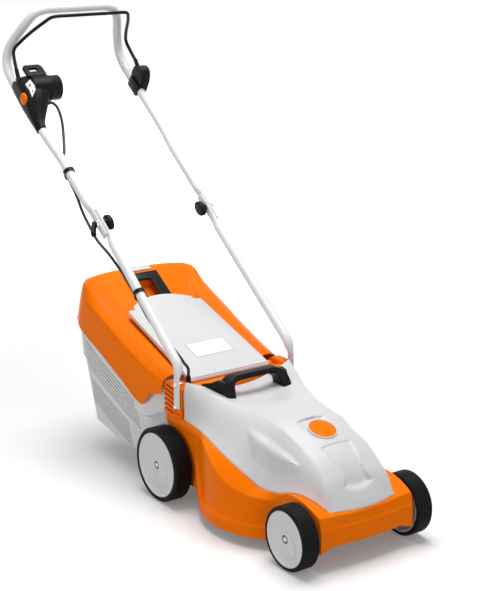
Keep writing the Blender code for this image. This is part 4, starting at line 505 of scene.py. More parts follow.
def add_modifier(piece, name, kind, **settings):
    modifier = piece.modifiers.new(name, kind)
    for key, value in settings.items():
        setattr(modifier, key, value)


def give_wall(piece, thickness):
    """Wall of a thickness in millimetres, inwards from the surface."""
    add_modifier(piece, "wall", "SOLIDIFY", thickness=thickness * MM, offset=-1,
                 use_even_offset=True)


def soften(piece, width):
    """Small rounding on every edge sharper than 34 degrees, as a mould leaves it."""
    add_modifier(piece, "rounding", "BEVEL", width=width * MM, segments=2, limit_method="ANGLE",
                 angle_limit=math.radians(34), harden_normals=True)


def round_off(bm, parts, width, segments, affect="EDGES"):
    """Bevel edges or corners of a mesh in work, by a width in its own unit."""
    bmesh.ops.bevel(bm, geom=parts, offset=width, offset_type="OFFSET", segments=segments,
                    profile=0.5, affect=affect, clamp_overlap=True, material=-1)


def up_and_out(bm, centre):
    """Turn an open shell's faces so that they look away from a point inside it."""
    if sum((face.calc_center_median() - centre).dot(face.normal) * face.calc_area()
           for face in bm.faces) < 0:
        bmesh.ops.reverse_faces(bm, faces=bm.faces)
    bm.normal_update()


def shell(rows, centre):
    """Grid on the given points, with its faces looking away from a point inside it."""
    bm = lay_grid(rows)
    up_and_out(bm, centre)
    return bm


# %% [markdown]
# ## The motor hood
# The hood covers the motor. A crisp ridge runs round its top, its flanks swell and then turn out
# a little above the deck, and its rear edge is rolled. Its stations are those of the packed
# hood. Only its flanks swell more, and its rear is a few millimetres wider and higher, as in the
# photograph.

# %% Hood sections
# Back, height of the middle, the ridge across and up, the edge across and up.
HOOD_STATIONS = [
    (-44, 111.2, 70, 114.2, 81, 113.8), (-20, 160, 70.5, 154, 88, 121), (0, 180, 68, 173, 93, 127),
    (30, 201, 68, 193, 103, 133), (60, 215, 69, 207, 112, 128),
    (75, 221.5, 69, 212.5, 116.5, 122.5), (90, 227, 69, 217, 120, 120),
    (123, 236, 69, 227, 128, 119.5), (155, 242, 70, 234, 141, 138),
    (193, 246, 72, 238.5, 149, 154), (230, 246, 76, 241, 151, 166), (265, 242, 85, 245, 151, 177),
    (305, 239, 99, 250, 149, 186), (345, 238, 120, 261, 145, 188), (385, 238, 135, 271, 142, 188.5),
]
HOOD_WALL, HOOD_BULGE, HOOD_NOSE_BOW, HOOD_NOSE_LENGTH, HOOD_CORNER = 2.5, 8.5, 9, 24, 6
FULL_FLANK = 60                 # height of a flank that swells by the whole bulge
SWELL_TOP, SWELL_FADE, SWELL_UP = 1.1, 1.25, 0.6    # the bulge lies high on the flank
HOOD_FRONT, HOOD_REAR = HOOD_STATIONS[0][0], HOOD_STATIONS[-1][0]
RIDGE_COLUMN, FLANK_COLUMNS = 24, 26    # from the middle of a section, and from its ridge


def hood_half_section(back):
    middle_z, ridge_x, ridge_z, edge_x, edge_z = station_at(HOOD_STATIONS, back)
    at_nose = 1 - ease(back, HOOD_FRONT, HOOD_FRONT + HOOD_NOSE_LENGTH)
    half = []
    for share in spread(0, 1, RIDGE_COLUMN + 1):
        z = middle_z + (ridge_z - middle_z) * share ** 2
        bow = HOOD_NOSE_BOW * at_nose * (1 - share ** 2)
        half.append(at(ridge_x * share, back - bow, z))
    bulge = HOOD_BULGE * min(1, max(ridge_z - edge_z, 0) / FULL_FLANK)
    for share in spread(0, 1, FLANK_COLUMNS + 1)[1:]:
        swell = bulge * 4 * share * (1 - share) * (SWELL_TOP - SWELL_FADE * share)
        half.append(at(ridge_x + (edge_x - ridge_x) * share + swell,
                       back + HOOD_CORNER * at_nose * share ** 2,
                       ridge_z + (edge_z - ridge_z) * share + swell * SWELL_UP))
    return half


# %% [markdown]
# The hood's details are shallow: a brow with a shadowed cheek under it on each flank, a flat for
# the badge below a curved step, and a sunk panel on the nose that ends in a ledge. Cutting them
# with booleans would give hard seams, so the fine grid is pushed along its normals instead, by a
# depth that each detail gives for a place on the hood.

# %% Details of the hood
BROW_TOP = [(48, 184), (52, 184.5), (75, 193), (102, 201.5), (132, 210), (160, 215.3), (180, 217.6),
            (197, 218.5), (209, 219)]
BROW_CREST = [(48, 183), (53, 183.5), (84, 184.6), (117, 188), (142, 194), (170, 203), (185, 208),
              (197, 213), (209, 218.5)]
CHEEK_BOTTOM = [(46, 180), (52, 169), (71, 161.5), (100, 156), (125, 155.6), (148, 162.5),
                (163, 173), (181, 191), (195, 206), (209, 218)]
BROW_FRONT, BROW_REAR, BROW_HEIGHT, ROLL_RADIUS = 48, 209, 8.5, 6
FULL_BROW, STEP = 42, 1.6               # height of a full brow, width of the steps
# A bend, times x squared, moves an arc back; a ramp is the stretch over which a depth changes.
ARC_BACK, ARC_BEND, BADGE_DEPTH, BADGE_SIDE, BADGE_RAMP = 135.5, -0.0016, 4.4, (22, 40), (62, 128)
PANEL_FRONT, PANEL_BEND, PANEL_REAR, PANEL_RISE = -34, 0.0052, 51, 9
PANEL_DEPTH, LEDGE_DEPTH, LEDGE_RAMP = 2.2, 4.6, (-24, 12)
PANEL_SIDES = [(-34, 38), (-26, 38), (-21, 29), (-12, 25), (-5, 24.5), (10, 27.5), (28, 32.5),
               (51, 37.5)]


def brow_rise(back, z):
    """Height of the brow and its cheek over the flank."""
    if not BROW_FRONT < back < BROW_REAR:
        return 0
    top, crest, bottom = (smooth_value(curve, 1, back) for curve in
                          (BROW_TOP, BROW_CREST, CHEEK_BOTTOM))
    size = BROW_HEIGHT * min(1, (top - bottom) / FULL_BROW)
    if z >= crest:
        return size * (1 - ease(z, crest - 1, max(top, crest + 1.5)))
    return size * max(0, (z - bottom) / max(crest - bottom, 1))


def badge_flat(x, back):
    """Depth of the flat round the badge, deepest below the curved step behind it."""
    arc = ARC_BACK + ARC_BEND * x * x
    behind = 1 - ease(back, arc - STEP, arc)
    side = 1 - ease(abs(x), *BADGE_SIDE)
    return BADGE_DEPTH * behind * side * ease(back, *BADGE_RAMP)


def nose_panel(x, back):
    """Depth of the sunk panel on the nose; it deepens towards the ledge at its front."""
    half = smooth_value(PANEL_SIDES, 1, back)
    front = PANEL_FRONT + PANEL_BEND * x * x
    inside = (1 - ease(abs(x), half - STEP, half)) * (1 - ease(back, PANEL_REAR - STEP, PANEL_REAR))
    deep = PANEL_DEPTH + LEDGE_DEPTH * (1 - ease(back, *LEDGE_RAMP))
    return inside * deep * ease(back, front, front + PANEL_RISE)


def rolled_edge(back):
    """Depth by which the rear edge rolls in."""
    left = min(max(HOOD_REAR - back, 0), ROLL_RADIUS)
    return ROLL_RADIUS - math.sqrt(ROLL_RADIUS ** 2 - (ROLL_RADIUS - left) ** 2)


# %% [markdown]
# The rows lie closer together on the nose, where the details are small. The ridge stays an edge
# of the grid: shading across it makes it look as tight as a moulded edge is.

# %% Hood
def make_hood():
    fine, roll = 142, HOOD_REAR - 7
    backs = (spread(HOOD_FRONT, fine, 118) + spread(fine, roll, 88)[1:]
             + spread(roll, HOOD_REAR, 7)[1:])
    rows = [both_sides(hood_half_section(back)) for back in backs]
    bm = shell(rows, at(0, 180, 60))
    column_of, middle = bm.verts.layers.int["column"], len(rows[0]) // 2
    moves = []
    for vert in bm.verts:
        x, back, z = millimetres(vert.co)
        on_top = abs(vert[column_of] - middle) <= RIDGE_COLUMN
        push = -badge_flat(x, back) - nose_panel(x, back) if on_top else brow_rise(back, z)
        moves.append((push - rolled_edge(back)) * MM)
    for vert, move in zip(bm.verts, moves):
        vert.co += vert.normal * move
    give_wall(add_piece("hood_shell", bm, LIGHT, "mower", "motor_hood", sharp=50), HOOD_WALL)
    print("hood:", len(backs), "sections of", len(rows[0]), "points")


make_hood()

# %% [markdown]
# ## Turned and round pieces
# Badge, wheels, caps and bolts are round, so they are spun: a half outline goes once round an
# axis. `bevel_corners` first rounds the outline's corners, because the highlight on a rounded
# edge is what makes a turned part look made and not drawn.

# %% Spinning an outline
def bevel_corners(outline, radius, steps=3, closed=False):
    """Outline with each corner replaced by a short arc."""
    points = [Vector(point) for point in outline]
    rounded = []
    for index, corner in enumerate(points):
        if not closed and index in (0, len(points) - 1):
            rounded.append(corner)
            continue
        before, after = points[index - 1], points[(index + 1) % len(points)]
        reach = min(radius, 0.45 * (before - corner).length, 0.45 * (after - corner).length)
        start = corner + (before - corner).normalized() * reach
        end = corner + (after - corner).normalized() * reach
        for step in range(steps + 1):
            t = step / steps
            rounded.append(start * (1 - t) ** 2 + corner * 2 * t * (1 - t) + end * t * t)
    return rounded


def spin_outline(outline, centre, toward=(0, 0, 1), sides=64, closed=False):
    """Surface spun from (radius, height) points in millimetres; heights run along an axis."""
    bm = bmesh.new()
    verts = [bm.verts.new((radius * MM, 0, height * MM)) for radius, height in outline]
    ends = verts[1:] + ([verts[0]] if closed else [])
    edges = [bm.edges.new(pair) for pair in zip(verts, ends)]
    bmesh.ops.spin(bm, geom=verts + edges, cent=(0, 0, 0), axis=(0, 0, 1), dvec=(0, 0, 0),
                   angle=2 * math.pi, steps=sides, use_merge=True, use_duplicate=False)
    bmesh.ops.remove_doubles(bm, verts=bm.verts, dist=0.005 * MM)
    bmesh.ops.recalc_face_normals(bm, faces=bm.faces)
    turn = Vector((0, 0, 1)).rotation_difference(Vector(toward)).to_matrix().to_4x4()
    bmesh.ops.transform(bm, matrix=Matrix.Translation(centre) @ turn, verts=bm.verts)
    return bm


# %% [markdown]
# ## The badge
# The real badge is a domed orange oval in a pale ring, pressed into the hood. Here it is blank.
# Two outlines are spun: the ring with its raised rim, and the disc with its slight dome.

# %% Badge
BADGE_BACK, BADGE_RADIUS, BADGE_SUNK = 92, 28, 1.6
BADGE_RING = [(28.2, 1.0), (28.2, 2.8), (30.4, 2.8), (30.4, -3)]
BADGE_DISC = [(0, 3.4), (9, 3.3), (18, 2.9), (25, 2.4), (27.6, 1.9), (28.2, 1.2), (28.2, -2)]


def make_badge():
    front, middle, rear = (smooth_value(HOOD_STATIONS, 1, BADGE_BACK + step)
                           for step in (-BADGE_RADIUS, 0, BADGE_RADIUS))
    slope = math.atan2(rear - front, 2 * BADGE_RADIUS)
    place, up = at(0, BADGE_BACK, middle - BADGE_SUNK), (0, -math.sin(slope), math.cos(slope))
    add_piece("badge_ring", spin_outline(bevel_corners(BADGE_RING, 0.7), place, up), LIGHT, "mower")
    add_piece("badge_disc", spin_outline(BADGE_DISC, place, up), ORANGE, "mower", "hood_badge")


make_badge()

# %% [markdown]
# ## The carry handle
# A black bow crosses the hood behind the motor. Its legs flare into broad feet. Rings of points
# along the bow are laid as a grid, and a subdivision surface rounds it off. Behind each foot a
# black cheek runs back along the hood.

# %% Carry handle
# Across, back, height, depth along the mower and thickness; then a ring's corners.
CARRY_SECTIONS = [
    (0, 331, 279, 24, 13), (28, 331, 279, 24, 13), (46, 331, 278.5, 25, 14),
    (56, 330, 276.5, 28, 16), (63, 329, 271.5, 32, 19), (68, 327, 264, 37, 22),
    (71, 325, 254, 42, 23), (72, 322, 242, 46, 23), (72, 320, 232, 48, 23),
    (72, 319, 226, 48.5, 23),
]
CARRY_RING = ((-1, -0.8), (-1, 0.8), (-0.86, 1), (0.86, 1), (1, 0.8), (1, -0.8), (0.86, -1),
              (-0.86, -1), (-1, -0.8))


def make_carry_handle():
    half = []
    for index, (x, back, z, depth, thick) in enumerate(CARRY_SECTIONS):
        before = CARRY_SECTIONS[max(index - 1, 0)]
        after = CARRY_SECTIONS[min(index + 1, len(CARRY_SECTIONS) - 1)]
        run = Vector((after[0] - before[0], after[2] - before[2])).normalized()
        half.append([at(x - run.y * across * thick / 2, back + along * depth / 2,
                        z + run.x * across * thick / 2) for along, across in CARRY_RING])
    rows = [mirrored(ring) for ring in reversed(half[1:])] + half
    bow = add_piece("carry_bow", lay_grid(rows), BLACK, "mower", "carry_handle", sharp=60)
    add_modifier(bow, "rounder", "SUBSURF", levels=2, render_levels=2)


make_carry_handle()

# %% [markdown]
# ## The deck
# The deck is one orange moulding: a nose with a bumper ledge, fenders beside the front wheels,
# a round skirt over the blade and a raised bridge at the rear. Its outline is walked from nose to
# rear in columns, each with its bottom, ledge, wall, shoulder and the seat that the hood rests
# on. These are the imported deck's columns, with more of them round the skirt.

# %% Columns of the deck
CHAMBER_BACK, SKIRT_RADIUS, WALL_RADIUS = 212, 183, 176
SKIRT_Z, LEDGE_Z, LEDGE_HEIGHT, BUMPER_Z, ROOF_Z = 22, 47, 4, 86, 104
BRIDGE_BACK, DECK_REAR, SIDE_X, SHOULDER_X, SIDE_BOTTOM, SIDE_TOP = 386.5, 446, 138, 146, 45, 150
SEAT_RIM, SEAT_GAP, SEAT_LIP, OVERHANG_LIP, WELL_STEP = 1.5, 0.6, 8, 16, 2
LEDGE_ROW, WALL_ROW, SHOULDER_ROW, SEAT_ROW, WELL_ROW = 1, 2, 3, 4, 6
ROW_BEVELS = {LEDGE_ROW: 1.4, WALL_ROW: 1.2, SHOULDER_ROW: 2.8, SEAT_ROW: 1.0}
ROOM_FRONT, ROOM_HALF, ROOM_Z, REAR_WALL = 390, 122.5, 84, 3.5
MOUTH_HALF, MOUTH_Z, SHAFT_HOLE = 100, 88, 18
ALL_FACES = -100                        # a length back that is ahead of the nose
SHOULDER_DROP = 13                      # of the shoulder below the seat at the sides
SHOULDER_LINE = [(80, 104), (110, 106), (150, 113), (196, 127), (232, 150), (268, 172), (330, 174)]
# Bottom, wall (across and back), shoulder, and the seat by its x or by its back.
NOSE_COLUMNS = [
    ((0, -60, 50), (0, -56.5), (0, -56, 109), (0, None)),
    ((45, -59, 50), (45, -55.5), (45, -55, 110), (43, None)),
    ((88, -55, 50), (88, -51.5), (86, -50.5, 111), (60, None)),
    ((96, -54.5, 45), (96, -53), (96, -49.8, 112), (72, None)),
    ((115.5, -55.5, 41.6), (115.4, -53.5), (114.7, -49.4, 114), (81, None)),
    ((117.5, -32, 36), (117.5, -32), (116.5, -30, 122), (None, -20)),
    ((118, -16, 35), (118, -16), (117.3, -15, 127.5), (None, -10)),
    ((118, 0, 34), (118, 0), (117.5, 0, 131), (None, 0)),
    ((118, 16, 34), (118, 16), (117.8, 16, 133.3), (None, 15)),
    ((118, 33, 34), (118, 33), (118, 32, 134), (None, 30)),
    ((118, 47, 31), (118, 47), (118, 47, 132.5), (None, 46)),
    ((118, 60, 28), (118, 60), (118, 60, 129), (None, 60)),
    ((119.6, 70, 24.5), (119.5, 70), (119.5, 70, 121), (None, 69)),
    ((121.5, 78, 23), (121, 78), (121, 77, 114), (None, 75)),
]
SKIRT_BACKS = (84, 90, 98, 106, 114, 123, 132, 142, 155, 168, 180, 193, 206, 218, 230, 242, 254,
               265, 278, 292, 305)


def seat_beside(back):
    _, _, _, edge_x, edge_z = station_at(HOOD_STATIONS, back)
    return edge_x + SEAT_RIM, back, edge_z - SEAT_GAP


def seat_ahead(x):
    front, middle_z, ridge_x, ridge_z, edge_x, edge_z = HOOD_STATIONS[0]
    share = min(x / ridge_x, 1) ** 2
    beside = max(x - ridge_x, 0) / (edge_x - ridge_x)
    back = front - HOOD_NOSE_BOW * (1 - share) + HOOD_CORNER * beside ** 2
    z = middle_z + (ridge_z - middle_z) * share + (edge_z - ridge_z) * beside
    return x, back - SEAT_RIM, z - SEAT_GAP


def upright(x, back):
    """Lower points of a column in the deck's straight sides and rear."""
    return [(x, back, z) for z in (SIDE_BOTTOM, SIDE_TOP, SIDE_TOP + LEDGE_HEIGHT)]


def deck_columns():
    columns = []
    for bottom, wall, shoulder, (seat_x, seat_back) in NOSE_COLUMNS:
        seat = seat_ahead(seat_x) if seat_back is None else seat_beside(seat_back)
        columns.append((bottom, (*bottom[:2], BUMPER_Z), (*wall, BUMPER_Z + 4), shoulder, seat))
    for back in SKIRT_BACKS:
        along = (back - CHAMBER_BACK) / WALL_RADIUS
        across = math.sqrt(1 - along ** 2)
        skirt = (SKIRT_RADIUS * across, CHAMBER_BACK + SKIRT_RADIUS * along)
        wall_x = WALL_RADIUS * across
        seat = seat_beside(back)
        columns.append((
            (*skirt, SKIRT_Z), (*skirt, LEDGE_Z), (wall_x, back, LEDGE_Z + LEDGE_HEIGHT),
            (max(wall_x, seat[0] + SEAT_RIM), back, smooth_value(SHOULDER_LINE, 1, back)), seat))
    for back in (345, BRIDGE_BACK - 4, DECK_REAR):
        seat_x, _, top = seat_beside(min(back, HOOD_REAR))
        shoulder_x = max(SHOULDER_X, seat_x + SEAT_RIM / 2)
        columns.append((*upright(SIDE_X, back), (shoulder_x, back, top - SHOULDER_DROP),
                        (seat_x, back, top)))
    for x in (100, 50, 0):
        columns.append((*upright(x, DECK_REAR), (x, DECK_REAR, top - SHOULDER_DROP),
                        (x, DECK_REAR - SEAT_RIM, top)))
    return columns


# %% [markdown]
# Inside its seat the deck drops to a flat roof, which carries the motor and has a hole for its
# shaft. At the rear the grid is split and opened for the clippings before it gets its wall: that
# leaves clean edges, which a boolean on a folded shell doesn't. The direction into the deck is
# square to the seat's outline. Every long edge of the moulding gets a real bevel of its own
# width, because those edges catch the light: the skirt's ledge shows as two bright lines in the
# photograph, and the shoulder as one broad one.

# %% Deck shell
def into_deck(columns, index):
    last = len(columns) - 1
    before = Vector(columns[max(index - 1, 0)][-1]).to_2d()
    after = Vector(columns[min(index + 1, last)][-1]).to_2d()
    if index == 0:
        before = Vector((-after.x, after.y))
    if index == last:
        after = Vector((-before.x, before.y))
    run = (after - before).normalized()
    return Vector((-run.y, run.x))


def deck_rows():
    columns = deck_columns()
    rows = [[] for _ in range(WELL_ROW + 1)]
    for index, column in enumerate(columns):
        seat = Vector(column[-1])
        inward = into_deck(columns, index)
        overhangs = index > 0 and seat.y > CHAMBER_BACK and column[0][0] < seat.x
        lip = seat.to_2d() + inward * (OVERHANG_LIP if overhangs else SEAT_LIP)
        well = lip + inward * WELL_STEP
        for row, point in zip(rows, column + ((*lip, seat.z), (*well, ROOF_Z))):
            row.append(at(*point))
    return [both_sides(row) for row in rows]


def bevel_rows(bm, widths):
    """Bevel the edges along rows of a grid, each row by its own width in millimetres."""
    row_of = bm.verts.layers.int["row"]
    along = {row: [edge for edge in bm.edges if all(vert[row_of] == row for vert in edge.verts)]
             for row in widths}
    for row, width in widths.items():
        edges = [edge for edge in along[row] if edge.is_valid and not edge.is_boundary]
        round_off(bm, edges, width * MM, 3)


def add_roof(bm):
    """Roof between the inner row and a round hole for the motor's shaft."""
    row_of = bm.verts.layers.int["row"]
    edges = [edge for edge in bm.edges if edge.is_boundary
             and all(vert[row_of] == WELL_ROW for vert in edge.verts)]
    hole = bmesh.ops.create_circle(bm, radius=SHAFT_HOLE * MM, segments=32,
                                   matrix=Matrix.Translation(at(0, CHAMBER_BACK, ROOF_Z)))
    edges += dict.fromkeys(edge for vert in hole["verts"] for edge in vert.link_edges)
    bmesh.ops.triangle_fill(bm, use_beauty=True, edges=edges, normal=(0, 0, 1))


def in_the_way(face):
    """Whether a face stands in the room under the bridge or in its mouth."""
    x, back, z = millimetres(face.calc_center_median())
    return back > ROOM_FRONT and (abs(x) < MOUTH_HALF and z > MOUTH_Z or abs(x) < ROOM_HALF
                                  and z > ROOM_Z and back < DECK_REAR - REAR_WALL)


def open_rear(bm):
    """Split the faces along the edges of the bridge's room and mouth, and take them out."""
    cuts = [(at(0, ROOM_FRONT, 0), (0, 1, 0), ALL_FACES),
            (at(0, 0, MOUTH_Z), (0, 0, 1), DECK_REAR - 8)]
    cuts += [(at(x, 0, 0), (1, 0, 0), ROOM_FRONT)
             for x in (-ROOM_HALF, -MOUTH_HALF, MOUTH_HALF, ROOM_HALF)]
    for place, across, behind in cuts:
        limit = FRONT_AXLE_Y + behind * MM
        faces = [face for face in bm.faces if face.calc_center_median().y > limit]
        rims = dict.fromkeys(item for face in faces for item in (*face.edges, *face.verts))
        bmesh.ops.bisect_plane(bm, geom=faces + list(rims), dist=0.001 * MM, plane_co=place,
                               plane_no=across)
    bmesh.ops.delete(bm, geom=[face for face in bm.faces if in_the_way(face)], context="FACES")


def make_deck():
    bm = lay_grid(deck_rows())
    add_roof(bm)
    bevel_rows(bm, ROW_BEVELS)
    open_rear(bm)
    bmesh.ops.recalc_face_normals(bm, faces=bm.faces)
    up_and_out(bm, at(0, 200, 70))
    deck = add_piece("deck_shell", bm, ORANGE, "mower", "deck_housing", sharp=40)
    give_wall(deck, 3)
    return deck


deck_shell = make_deck()

# %% [markdown]
# ## Slabs, and cutting one shape with another
# The bridge, the handle mounts and the grip are plates with a flat outline. A slab starts as one
# face, is extruded, and gets its edges bevelled. Where a shape needs a slot or a hole that goes
# through it, a boolean is the honest way: the tool is used once and thrown away, and the result
# is baked into the mesh.

# %% Slabs and cuts
PAST = 20                               # how far a cutting tool reaches past what it cuts


def flat_face(points):
    bm = bmesh.new()
    bm.faces.new([bm.verts.new(point) for point in points])
    return bm


def thicken(bm, through):
    """Extrude flat faces along a vector; gives back the vertices that moved."""
    grown = bmesh.ops.extrude_face_region(bm, geom=list(bm.faces))
    moved = [item for item in grown["geom"] if isinstance(item, bmesh.types.BMVert)]
    bmesh.ops.translate(bm, verts=moved, vec=through)
    bmesh.ops.recalc_face_normals(bm, faces=bm.faces)
    return moved


def plate(points, through, bevel=0.0, segments=2, angle=25):
    """Plate from a flat outline of places, thick along a vector."""
    bm = flat_face(points)
    thicken(bm, through)
    if bevel:
        round_off(bm, [edge for edge in bm.edges if edge.calc_face_angle(0) > math.radians(angle)],
                  bevel * MM, segments)
    return bm


def slab(outline, one_x, other_x, *finish):
    """Plate from an outline of (back, z) points in millimetres, thick along X."""
    low_x, high_x = sorted((one_x, other_x))
    return plate([at(low_x, back, z) for back, z in outline],
                 Vector(((high_x - low_x) * MM, 0, 0)), *finish)


def box_between(low, high):
    """Box between two opposite corners."""
    bm = bmesh.new()
    bmesh.ops.create_cube(bm, size=1, matrix=Matrix.LocRotScale((low + high) / 2, None, high - low))
    return bm


def bar_between(start, end, radius, sides=32, end_radius=None):
    """Round bar between two places; its radii are in millimetres."""
    bm = bmesh.new()
    turn = Vector((0, 0, 1)).rotation_difference(end - start).to_matrix().to_4x4()
    bmesh.ops.create_cone(
        bm, cap_ends=True, segments=sides, radius1=radius * MM,
        radius2=(radius if end_radius is None else end_radius) * MM, depth=(end - start).length,
        matrix=Matrix.Translation((start + end) / 2) @ turn)
    return bm


def final_mesh(thing):
    """Mesh of an object or a curve with its modifiers applied."""
    view = bpy.context.evaluated_depsgraph_get()
    return bpy.data.meshes.new_from_object(thing.evaluated_get(view))


def bake(piece, sharp):
    """Turn a piece's modifiers into its mesh."""
    mesh = final_mesh(piece)
    piece.modifiers.clear()
    piece.data = mesh
    shade(mesh, sharp)


def volume(mesh):
    bm = bmesh.new()
    bm.from_mesh(mesh)
    size = abs(bm.calc_volume(signed=True))
    bm.free()
    return size


def combine(piece, tools, operation="DIFFERENCE", sharp=35):
    """Cut a piece with each tool, or join each tool to it; a cut that ruins it is undone."""
    bake(piece, sharp)
    for bm in tools:
        whole, size = piece.data, volume(piece.data)
        tool = place_object("tool", mesh_from("tool", bm))
        add_modifier(piece, "combine", "BOOLEAN", operation=operation, solver="EXACT", object=tool)
        bake(piece, sharp)
        bpy.data.objects.remove(tool)
        if not 0.1 * size < volume(piece.data) < 2 * size:
            piece.data = whole
            print("not cut:", piece.name)


# %% [markdown]
# The cheeks beside the carry handle are wedges of the same black plastic. They lean outwards as
# they run back, and sink into the hood.

# %% Cheeks of the carry handle
CHEEK = [(304, 236), (389, 240), (389, 256), (366, 262), (342, 275), (322, 274), (304, 250)]
CHEEK_INNER, CHEEK_OUTER, CHEEK_LEAN = 66, 80, 0.16
for side, sign in SIDES.items():
    bm = slab(CHEEK, sign * CHEEK_INNER, sign * CHEEK_OUTER, 2.5, 3)
    for vert in bm.verts:
        vert.co.x += sign * CHEEK_LEAN * max(0, vert.co.y - FRONT_AXLE_Y - CHEEK[0][0] * MM)
    add_piece("carry_cheek_" + side, bm, BLACK, "mower")

# %% [markdown]
# ## The bridge behind the hood
# Behind the hood the deck rises to a bridge that carries the flap's hinge, with a thin lip that
# shows as an orange line between hood and flap. The clippings leave through it. The holes for the
# axles are drilled through the deck's sides.

# %% Bridge, ears and openings of the deck
BRIDGE_HALF, BRIDGE_TOP, BRIDGE_WALL, MOUTH_TOP = 126, 250, 3.5, 236
HINGE_BACK, HINGE_Z, EAR_X, EAR_WIDTH = 418, 256, 103.2, 6
AXLE_HOLES, AXLE_HOLE_RADIUS = ((19.6, 45), (406.4, 61)), 5.6


def channel_tools():
    half = BRIDGE_HALF - BRIDGE_WALL
    return [box_between(at(-half, BRIDGE_BACK + BRIDGE_WALL, ROOF_Z - PAST),
                        at(half, DECK_REAR - BRIDGE_WALL, BRIDGE_TOP - BRIDGE_WALL)),
            box_between(at(-MOUTH_HALF, DECK_REAR - PAST, MOUTH_Z),
                        at(MOUTH_HALF, DECK_REAR + PAST, MOUTH_TOP))]


def make_bridge():
    rear = DECK_REAR - 0.3
    outline = [(BRIDGE_BACK, 90), (rear, 90), (rear, BRIDGE_TOP), (BRIDGE_BACK + 20, BRIDGE_TOP),
               (BRIDGE_BACK + 14, BRIDGE_TOP + 7), (BRIDGE_BACK, BRIDGE_TOP + 3)]
    bridge = add_piece("rear_bridge", slab(outline, -BRIDGE_HALF, BRIDGE_HALF, 1.2, 3), ORANGE,
                       "mower")
    combine(bridge, channel_tools())
    outline = [(HINGE_BACK + along, z) for along, z in (
        (-8, BRIDGE_TOP - 3), (8, BRIDGE_TOP - 3), (8, HINGE_Z + 3), (5, HINGE_Z + 6),
        (-5, HINGE_Z + 6), (-8, HINGE_Z + 3))]
    for side, sign in SIDES.items():
        add_piece("hinge_ear_" + side, slab(outline, sign * EAR_X, sign * (EAR_X + EAR_WIDTH), 0.8),
                  ORANGE, "mower")


combine(deck_shell, [bar_between(at(-200, *hole), at(200, *hole), AXLE_HOLE_RADIUS, 24)
                     for hole in AXLE_HOLES], sharp=40)
print("deck:", len(deck_shell.data.polygons), "faces")
make_bridge()

# %% [markdown]
# Under the deck a curved baffle closes the front of the cutting chamber. It is a strip of the
# chamber's wall: one edge spun through the arc and given a wall.

# %% Baffle
BAFFLE_RADIUS, BAFFLE_BOTTOM, BAFFLE_TOP = 170, 28, 102.5
BAFFLE_START, BAFFLE_ARC = -128, 76     # degrees


def make_baffle():
    bm = bmesh.new()
    start = Matrix.Rotation(math.radians(BAFFLE_START), 4, "Z")
    verts = [bm.verts.new(start @ Vector((BAFFLE_RADIUS * MM, 0, z * MM)))
             for z in (BAFFLE_BOTTOM, BAFFLE_TOP)]
    edge = bm.edges.new(verts)
    bmesh.ops.spin(bm, geom=verts + [edge], cent=(0, 0, 0), axis=(0, 0, 1), dvec=(0, 0, 0),
                   angle=math.radians(BAFFLE_ARC), steps=28)
    bmesh.ops.translate(bm, verts=bm.verts, vec=at(0, CHAMBER_BACK, 0))
    up_and_out(bm, at(0, CHAMBER_BACK, 60))
    give_wall(add_piece("chamber_baffle", bm, ORANGE, "mower"), 3)


make_baffle()

# %% [markdown]
# ## Handle mounts
# Beside the bridge a block on each side takes the handle's foot. Its outer face behind the foot
# is a row of slanted slats with shadow between them. Slots are cut into the block, which leaves
# the slats standing.

# %% Handle mounts
MOUNT_LOW, MOUNT_TOP, MOUNT_REAR, MOUNT_OUTER = 188.3, 262, 448, 149
SLATS, SLAT_PITCH, SLAT_FLOOR, FOOT_FLOOR, PAST_MOUNT = 6, 10.6, 141, 146, 160
SLAT_GAP = ((409, -5), (452, 2), (452, 7.5), (409, 0.5))
FOOT_SEAT = [(380, 196), (406.5, 196), (406.5, 270), (380, 270)]


def make_mount(side, sign):
    outline = [(BRIDGE_BACK, MOUNT_LOW), (MOUNT_REAR, MOUNT_LOW), (MOUNT_REAR, MOUNT_TOP - 6),
               (MOUNT_REAR - 12, MOUNT_TOP), (BRIDGE_BACK + 10, MOUNT_TOP),
               (BRIDGE_BACK, MOUNT_TOP - 8)]
    block = slab(outline, sign * (BRIDGE_HALF + 0.3), sign * MOUNT_OUTER, 1.4, 3)
    mount = add_piece("mount_block_" + side, block, ORANGE, "mower", "handle_mount_" + side)
    slots = [MOUNT_LOW + 9 + index * SLAT_PITCH for index in range(SLATS)]
    tools = [slab([(back, z + up) for back, up in SLAT_GAP],
                  sign * SLAT_FLOOR, sign * PAST_MOUNT) for z in slots]
    combine(mount, tools + [slab(FOOT_SEAT, sign * FOOT_FLOOR, sign * PAST_MOUNT)])


for side, sign in SIDES.items():
    make_mount(side, sign)

# %% [markdown]
# ## The discharge flap
# The flap is a pale panel that hangs over the grass box. Its sides are folded down, its rear
# runs out into a tongue between two notches, and it is a little crowned. A sticker sits on it in
# the photograph; its place keeps a blank label with a thin frame.

# %% Flap
FLAP_FRONT, FLAP_REAR, FLAP_Z, FLAP_SLOPE = 415, 674, 262.6, 0.3295
FLAP_HALF_FRONT, FLAP_HALF_REAR, FLAP_CROWN = 102.6, 97.5, 2
TONGUE_REAR, TONGUE_BEND, TONGUE_SIDE = 711, 0.0042, (76.5, 80.5)
FLAP_EDGE, FLAP_EDGE_DROP, FLAP_FOLD = (0.96, 1.0), 1.5, (4, 7, 10)     # fold: rows of its depth


def flap_z(back):
    return FLAP_Z + FLAP_SLOPE * (back - FLAP_FRONT)


def flap_rear(x):
    """Rear edge of the flap: corners, notches and the tongue between them."""
    tongue = TONGUE_REAR - TONGUE_BEND * x * x
    return FLAP_REAR + (tongue - FLAP_REAR) * (1 - ease(abs(x), *TONGUE_SIDE))


